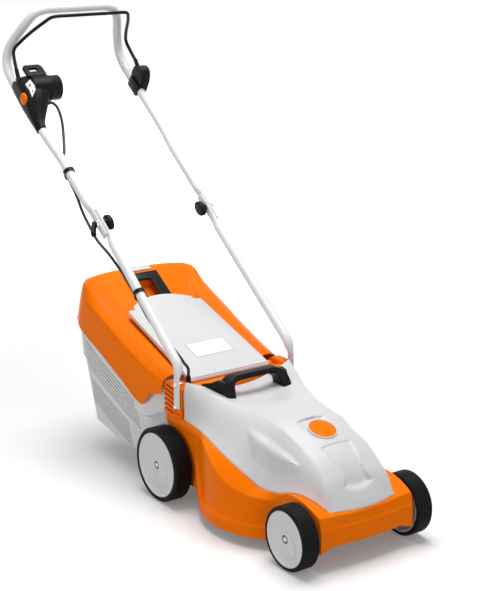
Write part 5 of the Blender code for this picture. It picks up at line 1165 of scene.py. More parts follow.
def make_flap():
    rows = []
    for share in spread(0, 1, 44):
        half_width = FLAP_HALF_FRONT + (FLAP_HALF_REAR - FLAP_HALF_FRONT) * share
        half = []
        for across in spread(0, 0.955, 50) + [0.975, 0.99, 1.0]:
            x = across * half_width
            back = FLAP_FRONT + share * (flap_rear(x) - FLAP_FRONT)
            crown = FLAP_CROWN * (1 - across ** 2) * share
            drop = FLAP_EDGE_DROP * ease(across, *FLAP_EDGE)
            half.append(at(x, back, flap_z(back) + crown - drop))
        side = FLAP_FRONT + share * (FLAP_REAR - FLAP_FRONT)
        half += [at(half_width, side, flap_z(side) - deep) for deep in FLAP_FOLD]
        rows.append(both_sides(half))
    flap = add_piece("flap_panel", shell(rows, at(0, 540, 200)), LIGHT, "discharge_flap",
                     "discharge_flap", sharp=38)
    give_wall(flap, 3)
    soften(flap, 0.8)


def hinge_bar(half, radius, sides=32):
    """Bar on the hinge's axis, as long to both sides."""
    return bar_between(at(-half, HINGE_BACK, HINGE_Z), at(half, HINGE_BACK, HINGE_Z), radius, sides)


make_flap()
barrel = add_piece("flap_barrel", hinge_bar(FLAP_HALF_FRONT, 5.6), LIGHT, "discharge_flap")
combine(barrel, [hinge_bar(120, 2.8, 24)])


LABEL_CORNER, LABEL_THICK = 2.5, 0.35


def make_label(name, low_x, high_x, front, rear, lift, material):
    """Thin plate with round corners that lies on the flap."""
    bm = flat_face([(low_x, front, 0), (high_x, front, 0), (high_x, rear, 0), (low_x, rear, 0)])
    round_off(bm, list(bm.verts), LABEL_CORNER, 4, "VERTICES")
    thicken(bm, (0, 0, LABEL_THICK))
    for vert in bm.verts:
        x, back, up = vert.co
        share = (back - FLAP_FRONT) / (FLAP_REAR + 33 - FLAP_FRONT)
        crown = FLAP_CROWN * (1 - (x / 100) ** 2) * share
        vert.co = at(x, back, flap_z(back) + crown + lift + up)
    bmesh.ops.recalc_face_normals(bm, faces=bm.faces)
    add_piece(name, bm, material, "discharge_flap", slot="light_plastic")


make_label("label_frame", -46, 53, 475, 524, -0.15, MARK)
make_label("label_face", -45.2, 52.2, 475.8, 523.2, 0.02, STICKER)

# %% [markdown]
# ## The grass box lid
# The lid is the largest orange moulding. Between two raised shoulders it has a channel for the
# flap; the shoulders sweep outwards at the rear and die out, a ridge runs round it, and its
# skirt covers the basket's edge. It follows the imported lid's stations.

# %% Lid sections
# Back, middle, shoulder, the ridge across and up, the skirt's edge across and up.
LID_STATIONS = [
    (450, 257, 262, 149, 257, 156, 228), (486, 268, 274, 152, 264.5, 161, 217),
    (516, 278, 284.5, 154, 272, 165, 188), (603, 306, 313, 156, 302, 167, 225),
    (671, 328, 335, 157, 329, 167.5, 254), (706, 344, 350, 157, 343, 167.5, 268),
    (745, 368, 371, 157, 358, 167.5, 281), (785, 394, 395, 156, 371, 167, 296),
    (812, 404, 402, 153, 374, 165, 306), (830, 398, 394, 146, 367, 158, 312),
    (839, 380, 376, 140, 352, 152, 315),
]
LID_REAR = LID_STATIONS[-1][0]
LID_CHANNEL, SHOULDER_SWEEP, SHOULDER_RISE, SKIRT_SWELL = 108, 34, 7, 1.4
CORNER_BACK, CORNER_DROP = 25, 7        # how far the rear corners are drawn in and down
REAR_DEPTH, REAR_LIFT, REAR_SLOPE = 4, 1, 0.03


def lid_half_section(back):
    middle, shoulder, ridge_x, ridge_z, skirt_x, skirt_z = station_at(LID_STATIONS, back)
    sweep = SHOULDER_SWEEP * ease(back, 715, 790)
    shoulder_x = min(LID_CHANNEL + sweep, ridge_x - 14)
    half = [at((shoulder_x - 6) * share, back, middle) for share in spread(0, 1, 14)]
    half.append(at(shoulder_x, back, shoulder))
    for share in spread(0, 1, 7)[1:]:
        rise = SHOULDER_RISE * 4 * share * (1 - share)
        half.append(at(shoulder_x + (ridge_x - shoulder_x) * share, back,
                       shoulder + (ridge_z - shoulder) * share + rise))
    for share in spread(0, 1, 9)[1:]:
        swell = SKIRT_SWELL * 4 * share * (1 - share)
        half.append(at(ridge_x + (skirt_x - ridge_x) * share + swell, back,
                       ridge_z + (skirt_z - ridge_z) * share))
    for point in half:
        corner = (point.x / (150 * MM)) ** 3 * ease(back, 720, LID_REAR)
        point.y -= CORNER_BACK * MM * corner
        point.z -= CORNER_DROP * MM * corner
    return half


# %% [markdown]
# The rows lie closer together at the rear, where the lid turns down. Behind the last station the
# sections sink onto the skirt's edge and close the rear. The shoulders and the ridge get bevels.

# %% Lid
SHOULDER_COLUMN, LID_RIDGE_COLUMN = 14, 20      # counted from the middle of a section


def bevel_columns(bm, widths):
    """Bevel the edges along columns of a grid, on both sides of its middle."""
    column_of = bm.verts.layers.int["column"]
    middle = max(vert[column_of] for vert in bm.verts) // 2
    for offset, width in widths.items():
        edges = [edge for edge in bm.edges if not edge.is_boundary
                 and all(abs(vert[column_of] - middle) == offset for vert in edge.verts)]
        round_off(bm, edges, width * MM, 3)


def make_lid():
    backs = spread(450, 516, 12) + spread(516, 785, 44)[1:] + spread(785, LID_REAR, 22)[1:]
    halves = [lid_half_section(back) for back in backs]
    last, edge = halves[-1], halves[-1][-1]
    for share in spread(0, 1, 9)[1:]:
        halves.append([Vector((
            p.x, p.y + REAR_DEPTH * MM * share,
            p.z + (edge.z + REAR_LIFT * MM + (edge.x - p.x) * REAR_SLOPE - p.z) * share))
            for p in last])
    bm = shell([both_sides(half) for half in halves], at(0, 660, 200))
    bevel_columns(bm, {SHOULDER_COLUMN: 1.6, LID_RIDGE_COLUMN: 2.2})
    lid = add_piece("box_lid", bm, ORANGE, "grass_box", "grass_box_lid", sharp=42)
    give_wall(lid, 2.5)
    return lid


box_lid = make_lid()

# %% [markdown]
# ## Grip and finger pocket
# A black grip lies over a pocket in the lid, where the fingers go. The grip is a slab parallel to
# the lid with a slot cut into it. The pocket is a box let into the lid, open at the top.

# %% Grip, pocket and level indicator
GRIP_FRONT, GRIP_REAR, GRIP_HALF, GRIP_BAR, SLOT_HALF = 718, 784, 45, 17, 17
POCKET_REAR, POCKET_HALF, POCKET_DEPTH, POCKET_WALL = 778, 30, 24, 2.5
INDICATOR_FRONT, INDICATOR_REAR, INDICATOR_HALF = 795, 812, 38


def lid_top(back):
    return smooth_value(LID_STATIONS, 1, back)


grip_slope = (lid_top(POCKET_REAR) - lid_top(GRIP_FRONT)) / (POCKET_REAR - GRIP_FRONT)


def lid_slab(front, rear, low, high, half_width, *finish):
    """Slab parallel to the lid under the grip, between two lifts above it."""
    outline = [(back, lid_top(GRIP_FRONT) + grip_slope * (back - GRIP_FRONT) + lift)
               for back, lift in ((front, low), (rear, low), (rear, high), (front, high))]
    return slab(outline, -half_width, half_width, *finish)


def make_grip():
    wall = POCKET_WALL
    combine(box_lid, [lid_slab(GRIP_FRONT, POCKET_REAR, -POCKET_DEPTH - wall, -1.2,
                               POCKET_HALF + wall)], "UNION", 42)
    combine(box_lid, [lid_slab(GRIP_FRONT + wall, POCKET_REAR - wall, -POCKET_DEPTH, PAST,
                               POCKET_HALF)], sharp=42)
    grip = add_piece("lid_grip", lid_slab(GRIP_FRONT, GRIP_REAR, 1.2, 6.2, GRIP_HALF, 1.6, 3),
                     BLACK, "grass_box", "grass_box_grip")
    combine(grip, [lid_slab(GRIP_FRONT - PAST, GRIP_REAR - GRIP_BAR, -PAST, 2 * PAST, SLOT_HALF,
                           3, 4)])


def make_indicator():
    low = lid_top(INDICATOR_FRONT) + 1.4
    high = low + lid_top(INDICATOR_REAR) - lid_top(INDICATOR_FRONT)
    outline = [(INDICATOR_FRONT, low), (INDICATOR_REAR, high), (INDICATOR_REAR, high + 2),
               (INDICATOR_FRONT, low + 2)]
    add_piece("indicator_flap", slab(outline, -INDICATOR_HALF, INDICATOR_HALF, 0.7), LIGHT,
              "level_indicator", "level_indicator")


make_grip()
make_indicator()

# %% [markdown]
# ## The basket
# The basket is thin grey plastic whose flanks are full of slots, so that air can leave. A bump
# map could only paint them. The slots are cut through the wall in two groups, one boolean for
# all the bars of a group, and the wall then shows its thickness at every slat. The sections are
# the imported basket's, a little fuller at the bottom.

# %% Basket
BASKET_STATIONS = [
    (452, 452, 116, 84, 140, 240), (478, 478, 122, 66, 141, 234), (518, 518, 127, 54, 154, 215),
    (617, 617, 131, 46, 157, 240), (700, 712, 133, 55, 158, 283), (768, 798, 132, 66, 154, 318),
]
KNEE_UP, KNEE_OUT = 0.62, 0.72          # where a flank turns, as shares of its height and width
# Round the bottom edge: inwards and up. The last pair is where the flank starts.
BOTTOM_EDGE = ((3, 1.2), (0.8, 3.4), (0, 6))
SLOT_GROUPS = ((668, 222, 236, 9.2), (690, 141, 172, 8.0))      # back, top, length and pitch


def basket_half_section(bottom_back):
    top_back, bottom_x, bottom_z, top_x, top_z = station_at(BASKET_STATIONS, bottom_back)

    def point(x, z):
        share = (z - bottom_z) / (top_z - bottom_z)
        return at(x, bottom_back + (top_back - bottom_back) * share, z)

    knee_z = bottom_z + (top_z - bottom_z) * KNEE_UP
    knee_x = bottom_x + (top_x - bottom_x) * KNEE_OUT
    half = [point(bottom_x * share, bottom_z) for share in spread(0, 0.93, 6)]
    half += [point(bottom_x - inwards, bottom_z + up) for inwards, up in BOTTOM_EDGE]
    flank_z = bottom_z + BOTTOM_EDGE[-1][1]
    for share in spread(0, 1, 7)[1:]:
        half.append(point(bottom_x + (knee_x - bottom_x) * share,
                          flank_z + (knee_z - flank_z) * share))
    for share in spread(0, 1, 6):
        half.append(point(top_x - 1 + share, knee_z + 5 + (top_z - knee_z - 5) * share))
    return half


SLOT_HEIGHT, SLOT_COUNT, SLOT_SLOPE, ACROSS = 2.8, 8, 22, 400


def slot_bars(middle_back, top_z, length, pitch):
    """All the bars of one slot group in one mesh."""
    bm = bmesh.new()
    turn = Matrix.Rotation(math.radians(SLOT_SLOPE), 4, "X")
    size = Matrix.Diagonal((ACROSS * MM, length * MM, SLOT_HEIGHT * MM, 1))
    for index in range(SLOT_COUNT):
        place = Matrix.Translation(at(0, middle_back, top_z - index * pitch))
        bmesh.ops.create_cube(bm, size=1, matrix=place @ turn @ size)
    return bm


def make_basket():
    halves = [basket_half_section(back) for back in spread(452, 768, 40)]
    last, top = halves[-1], halves[-1][-1]
    halves.append([Vector((min(p.x, top.x - 2 * MM), top.y + 3 * MM, top.z)) for p in last])
    basket = add_piece("box_basket", shell([both_sides(half) for half in halves], at(0, 620, 180)),
                       BASKET, "grass_box", "grass_box_basket")
    give_wall(basket, 2.2)
    combine(basket, [slot_bars(*group) for group in SLOT_GROUPS])
    print("basket:", len(basket.data.polygons), "faces")


make_basket()

# %% [markdown]
# ## Wheels
# Each wheel is a hard rubber tyre on a pale dished rim. The tread has four fine grooves, the
# rim's lip stands proud of its face, and a raised drop-shaped panel leads to the hub. Tyre and
# rim are spun from outlines whose grooves and steps are drawn once for both sizes.

# %% Wheel sizes and outlines
WHEELS = {
    "front": dict(back=0, radius=65, width=40, outer_x=163, tyre=8),
    "rear": dict(back=426, radius=81, width=42, outer_x=186, tyre=10.5),
}
RIM_DISH, RIM_WALL, HUB_RADIUS, BORE = 4.5, 3.5, 13, 5.3
GROOVES, SHOULDER = (0.558, 0.186, -0.186, -0.558), 4   # places as shares of the half width


def tyre_outline(radius, half, depth):
    inner = radius - depth
    outline = [(inner, half), (radius - SHOULDER, half), (radius, half - SHOULDER)]
    for groove in GROOVES:
        for offset, deep in ((1.0, 0), (0.6, 1.1), (-0.6, 1.1), (-1.0, 0)):
            outline.append((radius - deep, groove * half + offset))
    return outline + [(radius, SHOULDER - half), (radius - SHOULDER, -half), (inner, -half)]


def rim_outline(radius, half):
    lip, face = half - 1, half - 1 - RIM_DISH
    return [(radius, lip), (radius, 1 - half), (radius - RIM_WALL, 1 - half),
            (radius - RIM_WALL, face - RIM_WALL), (HUB_RADIUS, face - RIM_WALL),
            (HUB_RADIUS, 2 - half), (BORE, 2 - half), (BORE, face), (HUB_RADIUS, face),
            (radius - RIM_WALL - 6, face), (radius - RIM_WALL - 5, face + 0.8),
            (radius - RIM_WALL - 2.4, face + 0.8), (radius - RIM_WALL, lip)]


# %% [markdown]
# The drop-shaped panel is a flat outline round two circles, a small one at the hub and a wider
# one beside it. It is extruded and bevelled, then set on the rim's face.

# %% Raised panel of a rim
DROP_SMALL, DROP_HEIGHT, DROP_SUNK = 15.5, 2.1, 0.6
DROP_SHIFT, DROP_TURN = 0.651, -125     # of the wider circle, in its own radius; degrees


def drop_panel(centre, sign, face, size):
    """Raised drop round the hub; size is the radius of its wider circle."""
    turn = Matrix.Rotation(math.radians(DROP_TURN), 2)
    points = []
    for step in range(40):
        angle = 2 * math.pi * step / 40
        heading = Vector((math.cos(angle), math.sin(angle)))
        toward = ease(heading.x, -0.9, 0.9)
        reach = DROP_SMALL + (size - DROP_SMALL) * toward
        y, z = turn @ (heading * reach + Vector((size * DROP_SHIFT * toward, 0)))
        points.append(centre + Vector((sign * (face - DROP_SUNK), y, z)) * MM)
    bm = flat_face(points)
    moved = thicken(bm, (sign * (DROP_HEIGHT + DROP_SUNK) * MM, 0, 0))
    top = [edge for edge in bm.edges
           if all(vert in moved for vert in edge.verts) and len(edge.link_faces) == 2]
    round_off(bm, top, 0.8 * MM, 3)
    return bm


# %% [markdown]
# The hub is a dark recessed cap with a screw in its middle. The screw's socket is a small well
# turned into its head.

# %% Wheels
HUB_PIECES = (
    ("hub_ring_", RIM, 1.8, 48,
     bevel_corners([(8.8, 0.4), (8.8, 1.5), (9.6, 1.5), (10.6, 0.8), (10.6, -0.5)], 0.4)),
    ("hub_well_", DARK, 1.7, 48, [(0, 0.9), (5.2, 0.9), (5.4, 0.6), (8.8, 0.6), (9.0, -0.5)]),
    ("hub_screw_", ZINC, 2.0, 24,
     [(0, 0.7), (2.0, 0.7), (2.3, 1.8), (4.4, 1.6), (5.1, 0.9), (5.1, 0)]),
)


def make_wheel(end, side, sign, back, radius, width, outer_x, tyre):
    name, body, out = f"{end}_{side}", f"{end}_wheel_{side}", (sign, 0, 0)
    half = width / 2
    centre = at(sign * (outer_x - half), back, radius)
    tyre_line = bevel_corners(tyre_outline(radius, half, tyre), 0.5, 2, closed=True)
    rim_line = bevel_corners(rim_outline(radius - tyre - 0.3, half), 0.9, 3, closed=True)
    for part, node, material, line in (("tread_", "tyre_", RUBBER, tyre_line),
                                       ("dish_", "rim_", RIM, rim_line)):
        add_piece(part + name, spin_outline(line, centre, out, 96, closed=True), material, body,
                  node + name, sharp=30)
    face = half - 1 - RIM_DISH
    add_piece("panel_" + name, drop_panel(centre, sign, face, (radius - tyre) * 0.42), RIM, body)
    for part, material, lift, sides, line in HUB_PIECES:
        line = [(r, face + lift + h) for r, h in line]
        stands_for = ["hub_cap_" + name] if part == "hub_well_" else []
        add_piece(part + name, spin_outline(line, centre, out, sides), material, body, *stands_for)


for end, sizes in WHEELS.items():
    for side, sign in SIDES.items():
        make_wheel(end, side, sign, **sizes)
print("wheels:", ", ".join(f"{end} {sizes['radius'] * 2} mm" for end, sizes in WHEELS.items()))

# %% [markdown]
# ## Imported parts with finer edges
# Some parts are right in shape but have knife edges, as a model for physics may. A copy of such a
# node has its loose triangles merged and its flat faces joined, and then a fine bevel. A packed
# node itself is never changed.

# %% Softened copies
SOFTENED = (
    ("lead_clip_upper", "handle", BLACK, 0.5), ("lead_clip_lower", "mower", BLACK, 0.5),
    ("lead_hook", "mower", BLACK, 0.5), ("front_axle", "front_axle", ZINC, 0.5),
    ("rear_axle", "rear_axle", ZINC, 0.5), ("mower_blade", "blade_set", BLADE_STEEL, 0.3),
    ("blade_bolt", "blade_set", ZINC, 0.3),
)
for name, body, material, width in SOFTENED:
    bm = bmesh.new()
    bm.from_mesh(nodes[name].data)
    bmesh.ops.remove_doubles(bm, verts=bm.verts, dist=0.02 * MM)
    bmesh.ops.dissolve_limit(bm, angle_limit=math.radians(1), verts=bm.verts, edges=bm.edges)
    soften(add_piece(name + "_soft", bm, material, body, name, sharp=35), width)

# %% [markdown]
# ## The handle
# The handle is steel tube of 21 mm. The upper loop folds on the two lower tubes, and the ends are
# pressed flat where the bolts go through. A tube follows a smooth curve through the packed
# handle's points. A curve with a round bevel makes it, and its mesh is then pressed flat at the
# ends.

# %% Tubes along a path
TUBE_RADIUS = 10.5
HANDLE_LOOP = [
    (0, 1052, 989), (52, 1052, 989), (82, 1053.5, 988), (103, 1058, 982), (118, 1067, 966),
    (130.5, 1085, 941), (141, 1104, 917), (149, 1116, 893), (153.5, 1118, 869), (156.5, 1107, 845),
    (157.5, 1084, 823), (157.8, 1030, 784), (157, 974, 744), (155, 930, 713), (148.6, 865, 665.5),
]
FOLD_BACK, FOLD_Z = 711, 549.5
UPPER_END_X, LOWER_END_X, CRIMP = 147.5, 139.2, 7.9
CRIMP_LENGTH, CRIMP_RUN = 36, 26
FOOT_BACK, FOOT_X, FOOT_CRIMP, FOOT_RUN = 396, 149.5, 6, 20
LOWER_TUBE_X, FOOT_TOP, FOOT_BOTTOM = 144, 296, 203
FOLD = at(0, FOLD_BACK, FOLD_Z)
ARM = (FOLD - at(0, FOOT_BACK, FOOT_TOP)).normalized()


def smooth_path(points, steps):
    """Points on a smooth curve through the given ones."""
    slopes = []
    for index, point in enumerate(points):
        before = point - points[max(index - 1, 0)]
        after = points[min(index + 1, len(points) - 1)] - point
        slope = before.normalized() * after.length + after.normalized() * before.length
        slopes.append((slope if slope.length else before + after).normalized())
    path = []
    for start, end, leave, arrive in zip(points[:-1], points[1:], slopes[:-1], slopes[1:]):
        reach = (end - start).length
        for step in range(steps):
            t = step / steps
            path.append(cubic(t, reach, start, end, leave, arrive))
    return path + [points[-1].copy()]


def tube_mesh(points, radius, resolution=6):
    """Closed round tube along points, as a bmesh; the radius is in millimetres."""
    curve = bpy.data.curves.new("path", "CURVE")
    curve.dimensions, curve.use_fill_caps = "3D", True
    curve.bevel_depth, curve.bevel_resolution = radius * MM, resolution
    spline = curve.splines.new("POLY")
    spline.points.add(len(points) - 1)
    for point, place in zip(spline.points, points):
        point.co = (*place, 1)
    holder = place_object("path", curve)
    mesh = final_mesh(holder)
    bm = bmesh.new()
    bm.from_mesh(mesh)
    bmesh.ops.remove_doubles(bm, verts=bm.verts, dist=0.01 * MM)
    bmesh.ops.recalc_face_normals(bm, faces=bm.faces)
    bpy.data.objects.remove(holder)
    bpy.data.meshes.remove(mesh)
    bpy.data.curves.remove(curve)
    return bm


def press_flat(bm, path, start, toward, middle_x, thickness, run):
    """Press a tube flat across X beyond a point, easing in over a run; middle_x tells the side."""
    for vert in bm.verts:
        share = ease((vert.co - start).dot(toward), 0, run * MM)
        if vert.co.x * middle_x < 0 or share == 0:
            continue
        tube_x = min(path, key=lambda p: (p.yz - vert.co.yz).length).x
        middle = tube_x + (middle_x * MM - tube_x) * share
        flat = 1 + (thickness / (2 * TUBE_RADIUS) - 1) * share
        vert.co.x = middle + (vert.co.x - tube_x) * flat


# %% [markdown]
# Both arms of the loop come from one half, mirrored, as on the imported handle. The lower tubes
# stand on their flattened feet and bend back towards the fold.

# %% Upper handle and lower tubes
def upper_arm():
    half = smooth_path([at(*point) for point in HANDLE_LOOP], 5)
    last = Vector((UPPER_END_X * MM, FOLD.y, FOLD.z)) - ARM * CRIMP_LENGTH * MM
    start = half[-1]
    return half + [start.lerp(last, share) for share in spread(0, 1, 30)[1:]]


def lower_arm():
    bend = at(LOWER_TUBE_X, FOOT_BACK, FOOT_TOP)
    bottom = at(LOWER_TUBE_X, FOOT_BACK, FOOT_BOTTOM + 8)
    corner = [bend + Vector((0, back * MM, up * MM)) for back, up in
              ((0, -17), (0.3, -6), (2, 6), (7.5, 13.5), (16, 20))]
    last = Vector((LOWER_END_X * MM, FOLD.y, FOLD.z)) + ARM * CRIMP_LENGTH * MM
    foot = [bottom.lerp(corner[0], share) for share in spread(0, 1, 12)[:-1]]
    return foot + corner + [corner[-1].lerp(last, share) for share in spread(0, 1, 40)[1:]]


def both_arms(path):
    return {1: path, -1: mirrored(path)}


UPPER_ARMS, LOWER_ARMS = both_arms(upper_arm()), both_arms(lower_arm())
TO_CRIMP = ARM * (CRIMP_LENGTH + CRIMP_RUN) * MM

bm = tube_mesh(both_sides(UPPER_ARMS[1]), TUBE_RADIUS)
for sign in SIDES.values():
    press_flat(bm, UPPER_ARMS[sign], FOLD + TO_CRIMP, -ARM, sign * UPPER_END_X, CRIMP, CRIMP_RUN)
add_piece("upper_tube", bm, TUBE, "handle", "upper_handle", sharp=50)

for side, sign in SIDES.items():
    path = LOWER_ARMS[sign]
    bm = tube_mesh(path, TUBE_RADIUS)
    press_flat(bm, path, FOLD - TO_CRIMP, ARM, sign * LOWER_END_X, CRIMP, CRIMP_RUN)
    press_flat(bm, path, at(0, FOOT_BACK, FOOT_TOP), Vector((0, 0, -1)), sign * FOOT_X,
               FOOT_CRIMP, FOOT_RUN)
    add_piece("lower_tube_" + side, bm, TUBE, "mower", "lower_handle_" + side, sharp=50)

# %% [markdown]
# ## Bolts and knobs
# The feet are held by pan-head screws with a hexagon socket, the fold by a carriage bolt with an
# oval black knob inside.

# %% Screws, bolts and knobs
def screw_head(radius, height, socket):
    outline = [(0, height * 0.45), (socket, height * 0.45), (socket * 1.1, height),
               (radius * 0.62, height), (radius, height * 0.35), (radius, 0)]
    return bevel_corners(outline, height * 0.12, 2)


FOOT_SCREW = [*screw_head(6, 4, 2.0), (3, 0), (3, -15), (0, -15)]
FOLD_SCREW = [(0, 4.5), (4, 4.2), (7, 2.9), (8.6, 1.2), (9, 0), (4, 0), (4, -28), (0, -28)]
FOOT_SCREWS_Z = {"upper": 263, "lower": 214}
KNOB_LONG, KNOB_SHORT, KNOB_THICK = 19, 13.5, 13


def make_fasteners(side, sign):
    out = (sign, 0, 0)
    for level, z in FOOT_SCREWS_Z.items():
        place = at(sign * (FOOT_X + FOOT_CRIMP / 2 + 0.3), FOOT_BACK, z)
        add_piece(f"foot_screw_{side}_{level}", spin_outline(FOOT_SCREW, place, out, 32), ZINC,
                  "mower", f"foot_bolt_{side}_{level}")
    place = at(sign * (UPPER_END_X + CRIMP / 2 + 0.3), FOLD_BACK, FOLD_Z)
    add_piece("fold_screw_" + side, spin_outline(FOLD_SCREW, place, out, 32), ZINC, "mower",
              "fold_bolt_" + side)


def make_knob(side, sign):
    """Oval knob with a rounded rim, on a boss."""
    boss, tilt = LOWER_END_X - CRIMP / 2 - 6.6, math.atan2(ARM.z, ARM.y)
    oval = []
    for step in range(48):
        angle = 2 * math.pi * step / 48
        y, z = KNOB_LONG * math.cos(angle), KNOB_SHORT * math.sin(angle)
        oval.append((FOLD_BACK + y * math.cos(tilt) - z * math.sin(tilt),
                     FOLD_Z + y * math.sin(tilt) + z * math.cos(tilt)))
    bm = slab(oval, sign * boss, sign * (boss - KNOB_THICK), 3.6, 5, 60)
    body = "fold_knob_" + side
    add_piece("oval_knob_" + side, bm, BLACK, body, body, sharp=50)
    outline, place = bevel_corners([(4.6, 6.2), (9, 6.2), (10, 0)], 0.8), sign * (boss - 0.2)
    add_piece("knob_boss_" + side,
              spin_outline(outline, at(place, FOLD_BACK, FOLD_Z), (sign, 0, 0), 32), BLACK, body)


for side, sign in SIDES.items():
    make_fasteners(side, sign)
    make_knob(side, sign)

# %% [markdown]
# ## The bail
# The bail is the thin black bow that must be held against the handle for the motor to run. It is
# a coated wire with a moulded sleeve and a boss at each pivot.

# %% Bail
BAIL_LOOP = [
    (0, 984, 978.4), (60, 984, 978.4), (87, 984, 978.4), (94.3, 984.7, 977.8),
    (100.4, 986.9, 976.1), (105.3, 990.6, 973.2), (108.8, 995.7, 969.2), (146.4, 1072.1, 909.9),
    (149.7, 1077.8, 903.9), (152.5, 1080.1, 897.3), (154.8, 1079.2, 890.2), (156.5, 1074.8, 882.6),
    (162, 1052, 852),
]
BAIL_X, BAIL_BACK, BAIL_Z, BAIL_WIRE = 163, 1041, 832, 4
BOSS_HALF, BOSS_RADIUS, SLEEVE_LENGTH = Vector((4.5 * MM, 0, 0)), 6.5, 27


def make_bail():
    half = smooth_path([at(*point) for point in BAIL_LOOP], 6)
    pivot = at(BAIL_X, BAIL_BACK, BAIL_Z)
    half += [half[-1].lerp(pivot, 0.5), pivot]
    add_piece("bail_wire", tube_mesh(both_sides(half), BAIL_WIRE, 4), BLACK, "bail", "bail",
              sharp=50)
    top_x, *top_place = BAIL_LOOP[-1]
    for side, sign in SIDES.items():
        foot, top = at(sign * BAIL_X, BAIL_BACK, BAIL_Z), at(sign * top_x, *top_place)
        add_piece("bail_boss_" + side, bar_between(foot - BOSS_HALF, foot + BOSS_HALF, BOSS_RADIUS),
                  BLACK, "bail")
        reach = foot + (top - foot).normalized() * SLEEVE_LENGTH * MM
        add_piece("bail_sleeve_" + side, bar_between(foot.lerp(reach, 0.22), reach, 5.2, 32, 4.6),
                  BLACK, "bail", sharp=50)


make_bail()

# %% [markdown]
# ## The bail's bracket
# The bracket and the switch box are clamped round the handle's straight arms, so their outlines
# are given along the arm and square to it. A slot in each lets the bail swing.

# %% Bail bracket
GRIP_LINE = ((930, 713), (1084, 823))
PIVOT_HALF, PIVOT_ROOM = 5.3, 7.2       # half length and radius of the room for a bail boss
SWING_INNER, SWING_OUTER, SWING_BACK, SWING_TOP, SWING_LOW = 11, 6, 25, 60, 5.2


def off_arm(back, height):
    """Back and z beside the arm's straight stretch, at a height square to it."""
    (first, low), (last, high) = GRIP_LINE
    run = Vector((last - first, high - low)).normalized()
    return back - height * run.y, low + (back - first) * run.y / run.x + height * run.x


def bail_pocket(sign):
    x = sign * BAIL_X
    inner, outer = sorted((x - sign * SWING_INNER, x + sign * SWING_OUTER))
    ends = (at(x + side, BAIL_BACK, BAIL_Z) for side in (-PIVOT_HALF, PIVOT_HALF))
    return [bar_between(*ends, PIVOT_ROOM),
            box_between(at(inner, BAIL_BACK - PIVOT_ROOM, BAIL_Z - SWING_LOW),
                        at(outer, BAIL_BACK + SWING_BACK, BAIL_Z + SWING_TOP))]


CLAMP_OUTLINE = [(1023, -12.8), (1060, -12.8), (1060, 14), (1025, 14)]
HOUSING_OUTLINE = [(1024, -12.8), (1058, -12.8), (1067, 20), (1066, 40), (1053, 53), (1040, 55),
                   (1031, 46), (1026, 28)]
CLAMP_SCREWS = ((1029, -9.5, 5.2), (1054, 9, 3.6))      # along the arm, off it, and radius
HOUSING_X, CLAMP_X, CLAMP_SCREW_X = (151, 174.6), (145.6, 152), 147.4


def make_bracket():
    housing, clamp = ([off_arm(*point) for point in bevel_corners(*corners, closed=True)]
                      for corners in ((HOUSING_OUTLINE, 7, 4), (CLAMP_OUTLINE, 3, 3)))
    bracket = add_piece("bracket_housing", slab(housing, *HOUSING_X, 3.2, 4), BLACK, "handle",
                        "bail_bracket")
    combine(bracket, bail_pocket(1))
    add_piece("bracket_clamp", slab(clamp, *CLAMP_X, 1.4), BLACK, "handle")
    for back, height, radius in CLAMP_SCREWS:
        place = at(CLAMP_SCREW_X, *off_arm(back, height))
        head = [(0, 1.3), (1.4, 1.3), (1.6, 2.2), (radius - 1.2, 2.2), (radius, 1.2), (radius, -1)]
        add_piece(f"clamp_screw_{back}", spin_outline(head, place, (-1, 0, 0), 24), DARK, "handle")


make_bracket()

# %% [markdown]
# ## The switch box
# The box grows out of the right arm towards the mains inlet, with a ridge along its top. Rings
# round the arm give its form, and each ring has rounded corners, so the moulding looks soft
# without a bevel on every edge. Its flat eye holds the loop of the extension lead.

# %% Switch box
SWITCH_STATIONS = [
    (948, 170.5, 4, 157.5, 14, 144, 6), (962, 171, 7, 156, 18.5, 141, 9),
    (984, 172, 14, 149, 30.5, 127, 21), (1004, 172.4, 22.5, 142, 42.5, 113, 33),
    (1024, 172, 27, 137, 50.5, 104, 41), (1044, 171, 28, 134, 53, 103, 44),
    (1057, 170, 26, 135, 50, 104, 41), (1069, 168.8, 20, 138, 34, 112, 25),
]
INLET_BACK, INLET_Z, INLET_FACE_X, INLET_RADIUS = 1022, 810, 101, 31
BUTTON_PLACE, BUTTON_X = (1016, 22), 168.5      # along the arm and off it; across
BUTTON_ROOM = (-165, -190)
ALONG_GRIP, OFF_GRIP = Vector((0, 0.8137, 0.5812)), Vector((0, -0.5812, 0.8137))


def switch_section(back):
    outer, side, ridge_x, ridge, inner, shoulder = station_at(SWITCH_STATIONS, back)
    ring = [(outer - 4, -9), (outer, 1), (outer, side), (outer - 3, side + 0.3 * (ridge - side)),
            (ridge_x + 5, ridge - 1.5), (ridge_x - 5, ridge - 0.7),
            (inner + 7, shoulder + 0.55 * (ridge - shoulder)), (inner + 2, shoulder + 1),
            (inner, shoulder - 4), (inner, -4), (inner + 4.5, -10), (157.5, -14)]
    return [at(-x, *off_arm(back, height))
            for x, height in bevel_corners(ring, 5.5, 3, closed=True)]


def shrunk(ring, share, along):
    """Ring drawn towards its middle and moved along the arm, in millimetres."""
    middle = sum(ring, Vector()) / len(ring)
    return [middle + (point - middle) * share + ALONG_GRIP * along * MM for point in ring]


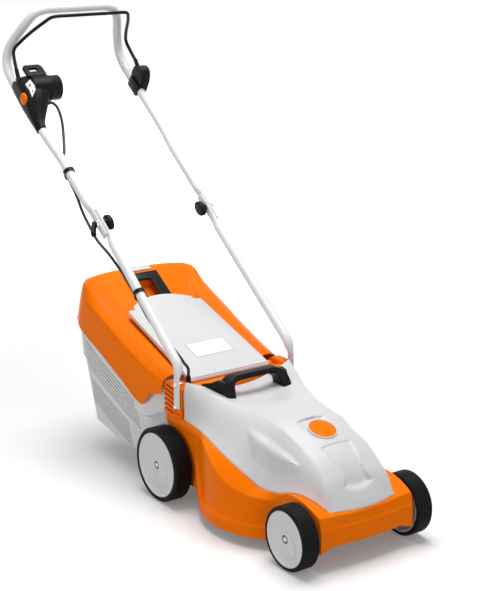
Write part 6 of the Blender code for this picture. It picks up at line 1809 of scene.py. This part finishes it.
def make_switch_box():
    rings = [switch_section(back) for back in spread(948, 1069, 36)]
    rings = ([shrunk(rings[0], 0.86, -2), shrunk(rings[0], 0.95, -1.3)] + rings
             + [shrunk(rings[-1], 0.97, 1.2), shrunk(rings[-1], 0.9, 2.4)])
    bm = lay_grid([ring + ring[:1] for ring in rings])
    row_of = bm.verts.layers.int["row"]
    for last in (0, len(rings) - 1):
        bmesh.ops.edgeloop_fill(bm, edges=[edge for edge in bm.edges if edge.is_boundary and all(
            vert[row_of] == last for vert in edge.verts)])
    bmesh.ops.recalc_face_normals(bm, faces=bm.faces)
    box = add_piece("switch_shell", bm, BLACK, "handle", "switch_box")
    boss = (at(-x, INLET_BACK, INLET_Z) for x in (143, INLET_FACE_X))
    combine(box, [bar_between(*boss, INLET_RADIUS, 64)], "UNION", 32)
    button = (at(x, *off_arm(*BUTTON_PLACE)) for x in BUTTON_ROOM)
    combine(box, [bar_between(*button, 14.7, 48), *bail_pocket(-1)], sharp=32)
    return box


switch_shell = make_switch_box()
EYE = [(1050, 149), (1076, 150), (1080, 145), (1080, 107), (1074, 101), (1050, 100)]
EYE_SLOT = [(1061.5, 139), (1071.5, 139), (1071.5, 116), (1061.5, 116)]
EYE_LOW, EYE_HIGH = 46, 53.5


def eye_plate(outline, low, high, radius, *finish):
    """Plate beside the arm between two heights, from (back, x) corners."""
    corners = bevel_corners(outline, radius, 4, closed=True)
    return plate([at(-x, *off_arm(back, low)) for back, x in corners],
                 OFF_GRIP * (high - low) * MM, *finish)


eye = add_piece("strap_eye", eye_plate(EYE, EYE_LOW, EYE_HIGH, 4, 1.8, 3), BLACK, "handle")
combine(eye, [eye_plate(EYE_SLOT, EYE_LOW - PAST / 2, EYE_HIGH + PAST / 2, 2)])

# %% [markdown]
# ## Label on the switch box
# The label lies on the box's curved top, so it starts flat and each of its points is moved to the
# nearest point of the box. Its two marks are generic.

# %% Label on the switch box
def lay_on(name, corners, host, material, lift, rounding):
    """Thin sheet that follows another piece's surface, from an outline of places."""
    bm = flat_face(corners)
    round_off(bm, list(bm.verts), rounding * MM, 3, "VERTICES")
    bmesh.ops.triangulate(bm, faces=bm.faces)
    bmesh.ops.subdivide_edges(bm, edges=bm.edges, cuts=3, use_grid_fill=True)
    surface = BVHTree.FromObject(host, bpy.context.evaluated_depsgraph_get())
    for vert in bm.verts:
        place, normal, _, _ = surface.find_nearest(vert.co)
        vert.co = place + normal * lift * MM
    places = [vert.co for vert in host.data.vertices]
    up_and_out(bm, sum(places, Vector()) / len(places))
    give_wall(add_piece(name, bm, material, "handle", slot="black_plastic"), lift + 0.1)


LABEL_CORNERS = [(-146, 1017.5, 834.6), (-143.4, 1001, 823), (-145.5, 991.8, 812.7),
                 (-157.9, 986.1, 797), (-158.3, 998.1, 810.7), (-160.6, 1015.1, 824.4)]
MARKS = (("mark_upper", 0.05, 4.0, 4), ("mark_lower", 0.72, 2.2, 8))


def make_switch_label():
    corners = [at(*corner) for corner in LABEL_CORNERS]
    lay_on("switch_label", corners, switch_shell, STICKER, 0.3, 1.2)
    top = (corners[0] + corners[5] + corners[1] + corners[4]) / 4
    low = (corners[2] + corners[3]) / 2
    along, across = (top - low).normalized(), (corners[5] - corners[0]).normalized()
    for name, share, size, steps in MARKS:
        centre, ring = top.lerp(low, share), []
        for step in range(steps):
            turn = 2 * math.pi * (step + 0.5) / steps
            ring.append(centre + (along * math.cos(turn) + across * math.sin(turn)) * size * MM)
        lay_on(name, ring, switch_shell, MARK, 0.42, 0.6)


make_switch_label()

# %% [markdown]
# ## Button and inlet
# The start button is a low dome. The inlet is a collar open at its end, with a floor and two pins
# inside, where the extension lead's socket goes.

# %% Start button and mains inlet
BUTTON = [(0, 7.2), (7, 6.9), (11.5, 6), (13.8, 4.6), (14, 2.5), (14, 0), (0, 0)]
place = at(-BUTTON_X, *off_arm(*BUTTON_PLACE))
add_piece("button_dome", spin_outline(bevel_corners(BUTTON, 1), place, (-1, 0, 0)), ORANGE,
          "start_button", "start_button")
COLLAR = [(31, 0), (31, 4), (29.5, 5), (29.5, 28), (26, 28), (26, 3), (0, 3)]
FLOOR = [(0, 7), (24.4, 7), (25.6, 6), (25.6, 3.4), (0, 3.4)]
PIN = [(0, 24.8), (1.1, 24.6), (1.8, 23.8), (2, 22.6), (2, 5), (0, 5)]
for name, outline, sides, material, off_middle, *stands_for in (
        ("inlet_collar", [(0, 0)] + bevel_corners(COLLAR, 0.8, 2), 72, BLACK, 0, "inlet_shroud"),
        ("inlet_floor", FLOOR, 64, DARK, 0, "inlet_insert"),
        ("inlet_pin_1012", PIN, 20, ZINC, -9.5), ("inlet_pin_1032", PIN, 20, ZINC, 9.5)):
    place = at(0.3 - INLET_FACE_X, INLET_BACK + off_middle, INLET_Z)
    add_piece(name, spin_outline(outline, place, (1, 0, 0), sides), material, "handle", *stands_for)

# %% [markdown]
# ## The lead
# The motor's lead leaves the box through a gland, hangs in a short loop, and then runs along the
# arm, past the fold, and down to a grommet in the bridge. Two clips and a hook hold it. It follows
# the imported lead's points on one smooth curve.

# %% Lead and grommet
AWAY = Vector((0, ARM.z, -ARM.y))
CABLE_RADIUS, CABLE_OFFSET, LEAD_FOLD_X = 3.25, 15.75, 158.5
GROMMET, GLAND = (-116, 402, 257.3), (-112.5, 1004, 778)
LEAD_LOOP = (
    (-117, 1004, 778), (-110, 1004, 778), (-98.5, 1003.7, 777.6), (-91.5, 997, 771),
    (-89.5, 984, 756), (-92, 968, 734), (-100, 949, 709), (-113, 923, 685),
)
# Along the arms: back, how far outwards and how far away from the arm.
LEAD_UPPER = ((847,), (829,), (790, 3, 1), (755, 8, 4))
LEAD_LOWER = ((650, 9, 3), (600, 2, 1), (562,), (544,), (505,))
LEAD_TAIL, GROMMET_TOP, STRAIGHT_BELOW = ((-128, 447, 330), (-119, 415, 302)), 18.3, 0.8


def beside_arm(path, back, out=0.0, extra=0.0):
    """Point of the lead under a straight arm, moved outwards and away from it."""
    y = FRONT_AXLE_Y + back * MM
    for near, far in zip(path[:-1], path[1:]):
        low, high = sorted((near.y, far.y))
        if low <= y <= high and high - low > 1 * MM and near.z < STRAIGHT_BELOW:
            point = near.lerp(far, (y - near.y) / (far.y - near.y))
            return point + AWAY * (CABLE_OFFSET + extra) * MM - Vector((out * MM, 0, 0))


def make_lead():
    upper = [at(*point) for point in LEAD_LOOP]
    upper += [beside_arm(UPPER_ARMS[-1], *place) for place in LEAD_UPPER]
    fold = at(-LEAD_FOLD_X, FOLD_BACK, FOLD_Z) + AWAY * (CABLE_OFFSET + 5) * MM
    lower = [fold, fold - ARM * 22 * MM]
    lower += [beside_arm(LOWER_ARMS[-1], *place) for place in LEAD_LOWER]
    lower += [at(*point) for point in LEAD_TAIL]
    lower += [at(*GROMMET) + Vector((0, 0, (GROMMET_TOP + up) * MM)) for up in (14, 5, -6)]
    for end, points, body in (("upper", upper + [fold], "handle"), ("lower", lower, "mower")):
        add_piece("motor_lead_" + end, tube_mesh(smooth_path(points, 8), CABLE_RADIUS, 4), SHEATH,
                  body, "lead_" + end, sharp=60)


make_lead()
ribs = [(6.5, 0), (6.5, 2.2)]
for ring in range(3):
    up, thinner = ring * 4.4, ring * 0.4
    ribs += [(5.3, 3.4 + up), (5.2, 5.2 + up), (6.0 - thinner, 5.9 + up), (5.9 - thinner, 7.2 + up)]
ribs = [(0, 0)] + bevel_corners(ribs + [(4.3, 18), (0, 18)], 0.5, 2)
add_piece("grommet", spin_outline(ribs, at(*GROMMET), sides=32), BLACK, "mower", "lead_grommet")
gland = bevel_corners([(0, 0), (6, 0), (6, 3), (4.6, 4), (4.3, 9), (0, 9)], 0.7)
add_piece("lead_gland", spin_outline(gland, at(*GLAND), (1, 0, 0), 32), BLACK, "handle")

# %% [markdown]
# ## Floor, light and background
# The photograph is a studio picture on white: one broad soft light overhead and white all round.
# The floor keeps the mower's shadow near it and fades into white further off, but only for the
# camera and for reflections, so that the glow doesn't light the mower. The world is white in the
# same way, and softer as a light.

# %% Floor and lights
FLOOR_RADIUS = 7
SHADED, LIT = (0.45, 0.45, 0.45, 1), (0.84, 0.84, 0.84, 1)      # floor as a light and as seen


def seen_by(tree, *rays):
    """1 for the kinds of ray that only show a surface, 0 for those that light others."""
    path = add_node(tree, "LightPath").outputs
    seen = path["Is Camera Ray"]
    for ray in rays:
        seen = calculate(tree, "MAXIMUM", seen, path[f"Is {ray} Ray"])
    return seen


def make_floor():
    bm = bmesh.new()
    bmesh.ops.create_circle(bm, cap_ends=True, radius=FLOOR_RADIUS, segments=64)
    mesh = mesh_from("studio_floor", bm)
    material = bpy.data.materials.new("studio_floor")
    material.use_nodes = True
    tree = material.node_tree
    shader = tree.nodes["Principled BSDF"].inputs
    for label, value in (("Roughness", 0.9), ("Specular IOR Level", 0.1),
                         ("Emission Color", (1, 1, 1, 1))):
        shader[label].default_value = value
    reach = add_node(tree, "VectorMath", operation="LENGTH")
    tree.links.new(own_place(tree), reach.inputs[0])
    far = add_node(tree, "MapRange", interpolation_type="SMOOTHSTEP", From_Min=0.9, From_Max=2.4,
                   To_Min=0.12, To_Max=1.0, Value=reach.outputs["Value"])
    seen = seen_by(tree, "Glossy")
    feed(tree, (shader["Emission Strength"], shader["Base Color"]), (
        calculate(tree, "MULTIPLY", seen, far.outputs["Result"]),
        blend(tree, "RGBA", seen, SHADED, LIT)))
    mesh.materials.append(material)
    place_object("studio_floor", mesh)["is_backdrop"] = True


LIGHTS = (("overhead_softbox", (0.3, 0.1, 3.0), 2.0, 80),
          ("front_fill", (-0.2, -3.6, 0.8), 2.0, 19), ("left_fill", (-3.6, -0.8, 0.7), 1.6, 27))
LIGHTS_AIM = Vector((0, 0, 0.3))


def soft_light(name, place, size, watts):
    lamp = bpy.data.lights.new(name, "AREA")
    lamp.shape, lamp.size, lamp.energy = "SQUARE", size, watts
    light = place_object(name, lamp)
    light.location = place
    light.rotation_euler = Vector((0, 0, -1)).rotation_difference(
        LIGHTS_AIM - Vector(place)).to_euler()


def make_world():
    world = scene.world = bpy.data.worlds.new("white_studio")
    world.use_nodes = True
    tree = world.node_tree
    background = tree.nodes["Background"].inputs
    feed(tree, (background["Color"], background["Strength"]), (
        (1, 1, 1, 1),
        calculate(tree, "MULTIPLY_ADD", seen_by(tree, "Glossy", "Transmission"), 0.66, 0.34)))


make_floor()
for light in LIGHTS:
    soft_light(*light)
make_world()

# %% [markdown]
# ## Size
# The dressed mower is meant to keep the imported mower's size, so the sizes of both boxes are
# printed.

# %% Sizes of both boxes
dressed_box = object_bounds()
boxes = {"cad": [list(corner) for corner in cad_box],
         "visual": [list(corner) for corner in dressed_box]}
for label, (low, high) in boxes.items():
    print(label, [round(b - a, 4) for a, b in zip(low, high)])
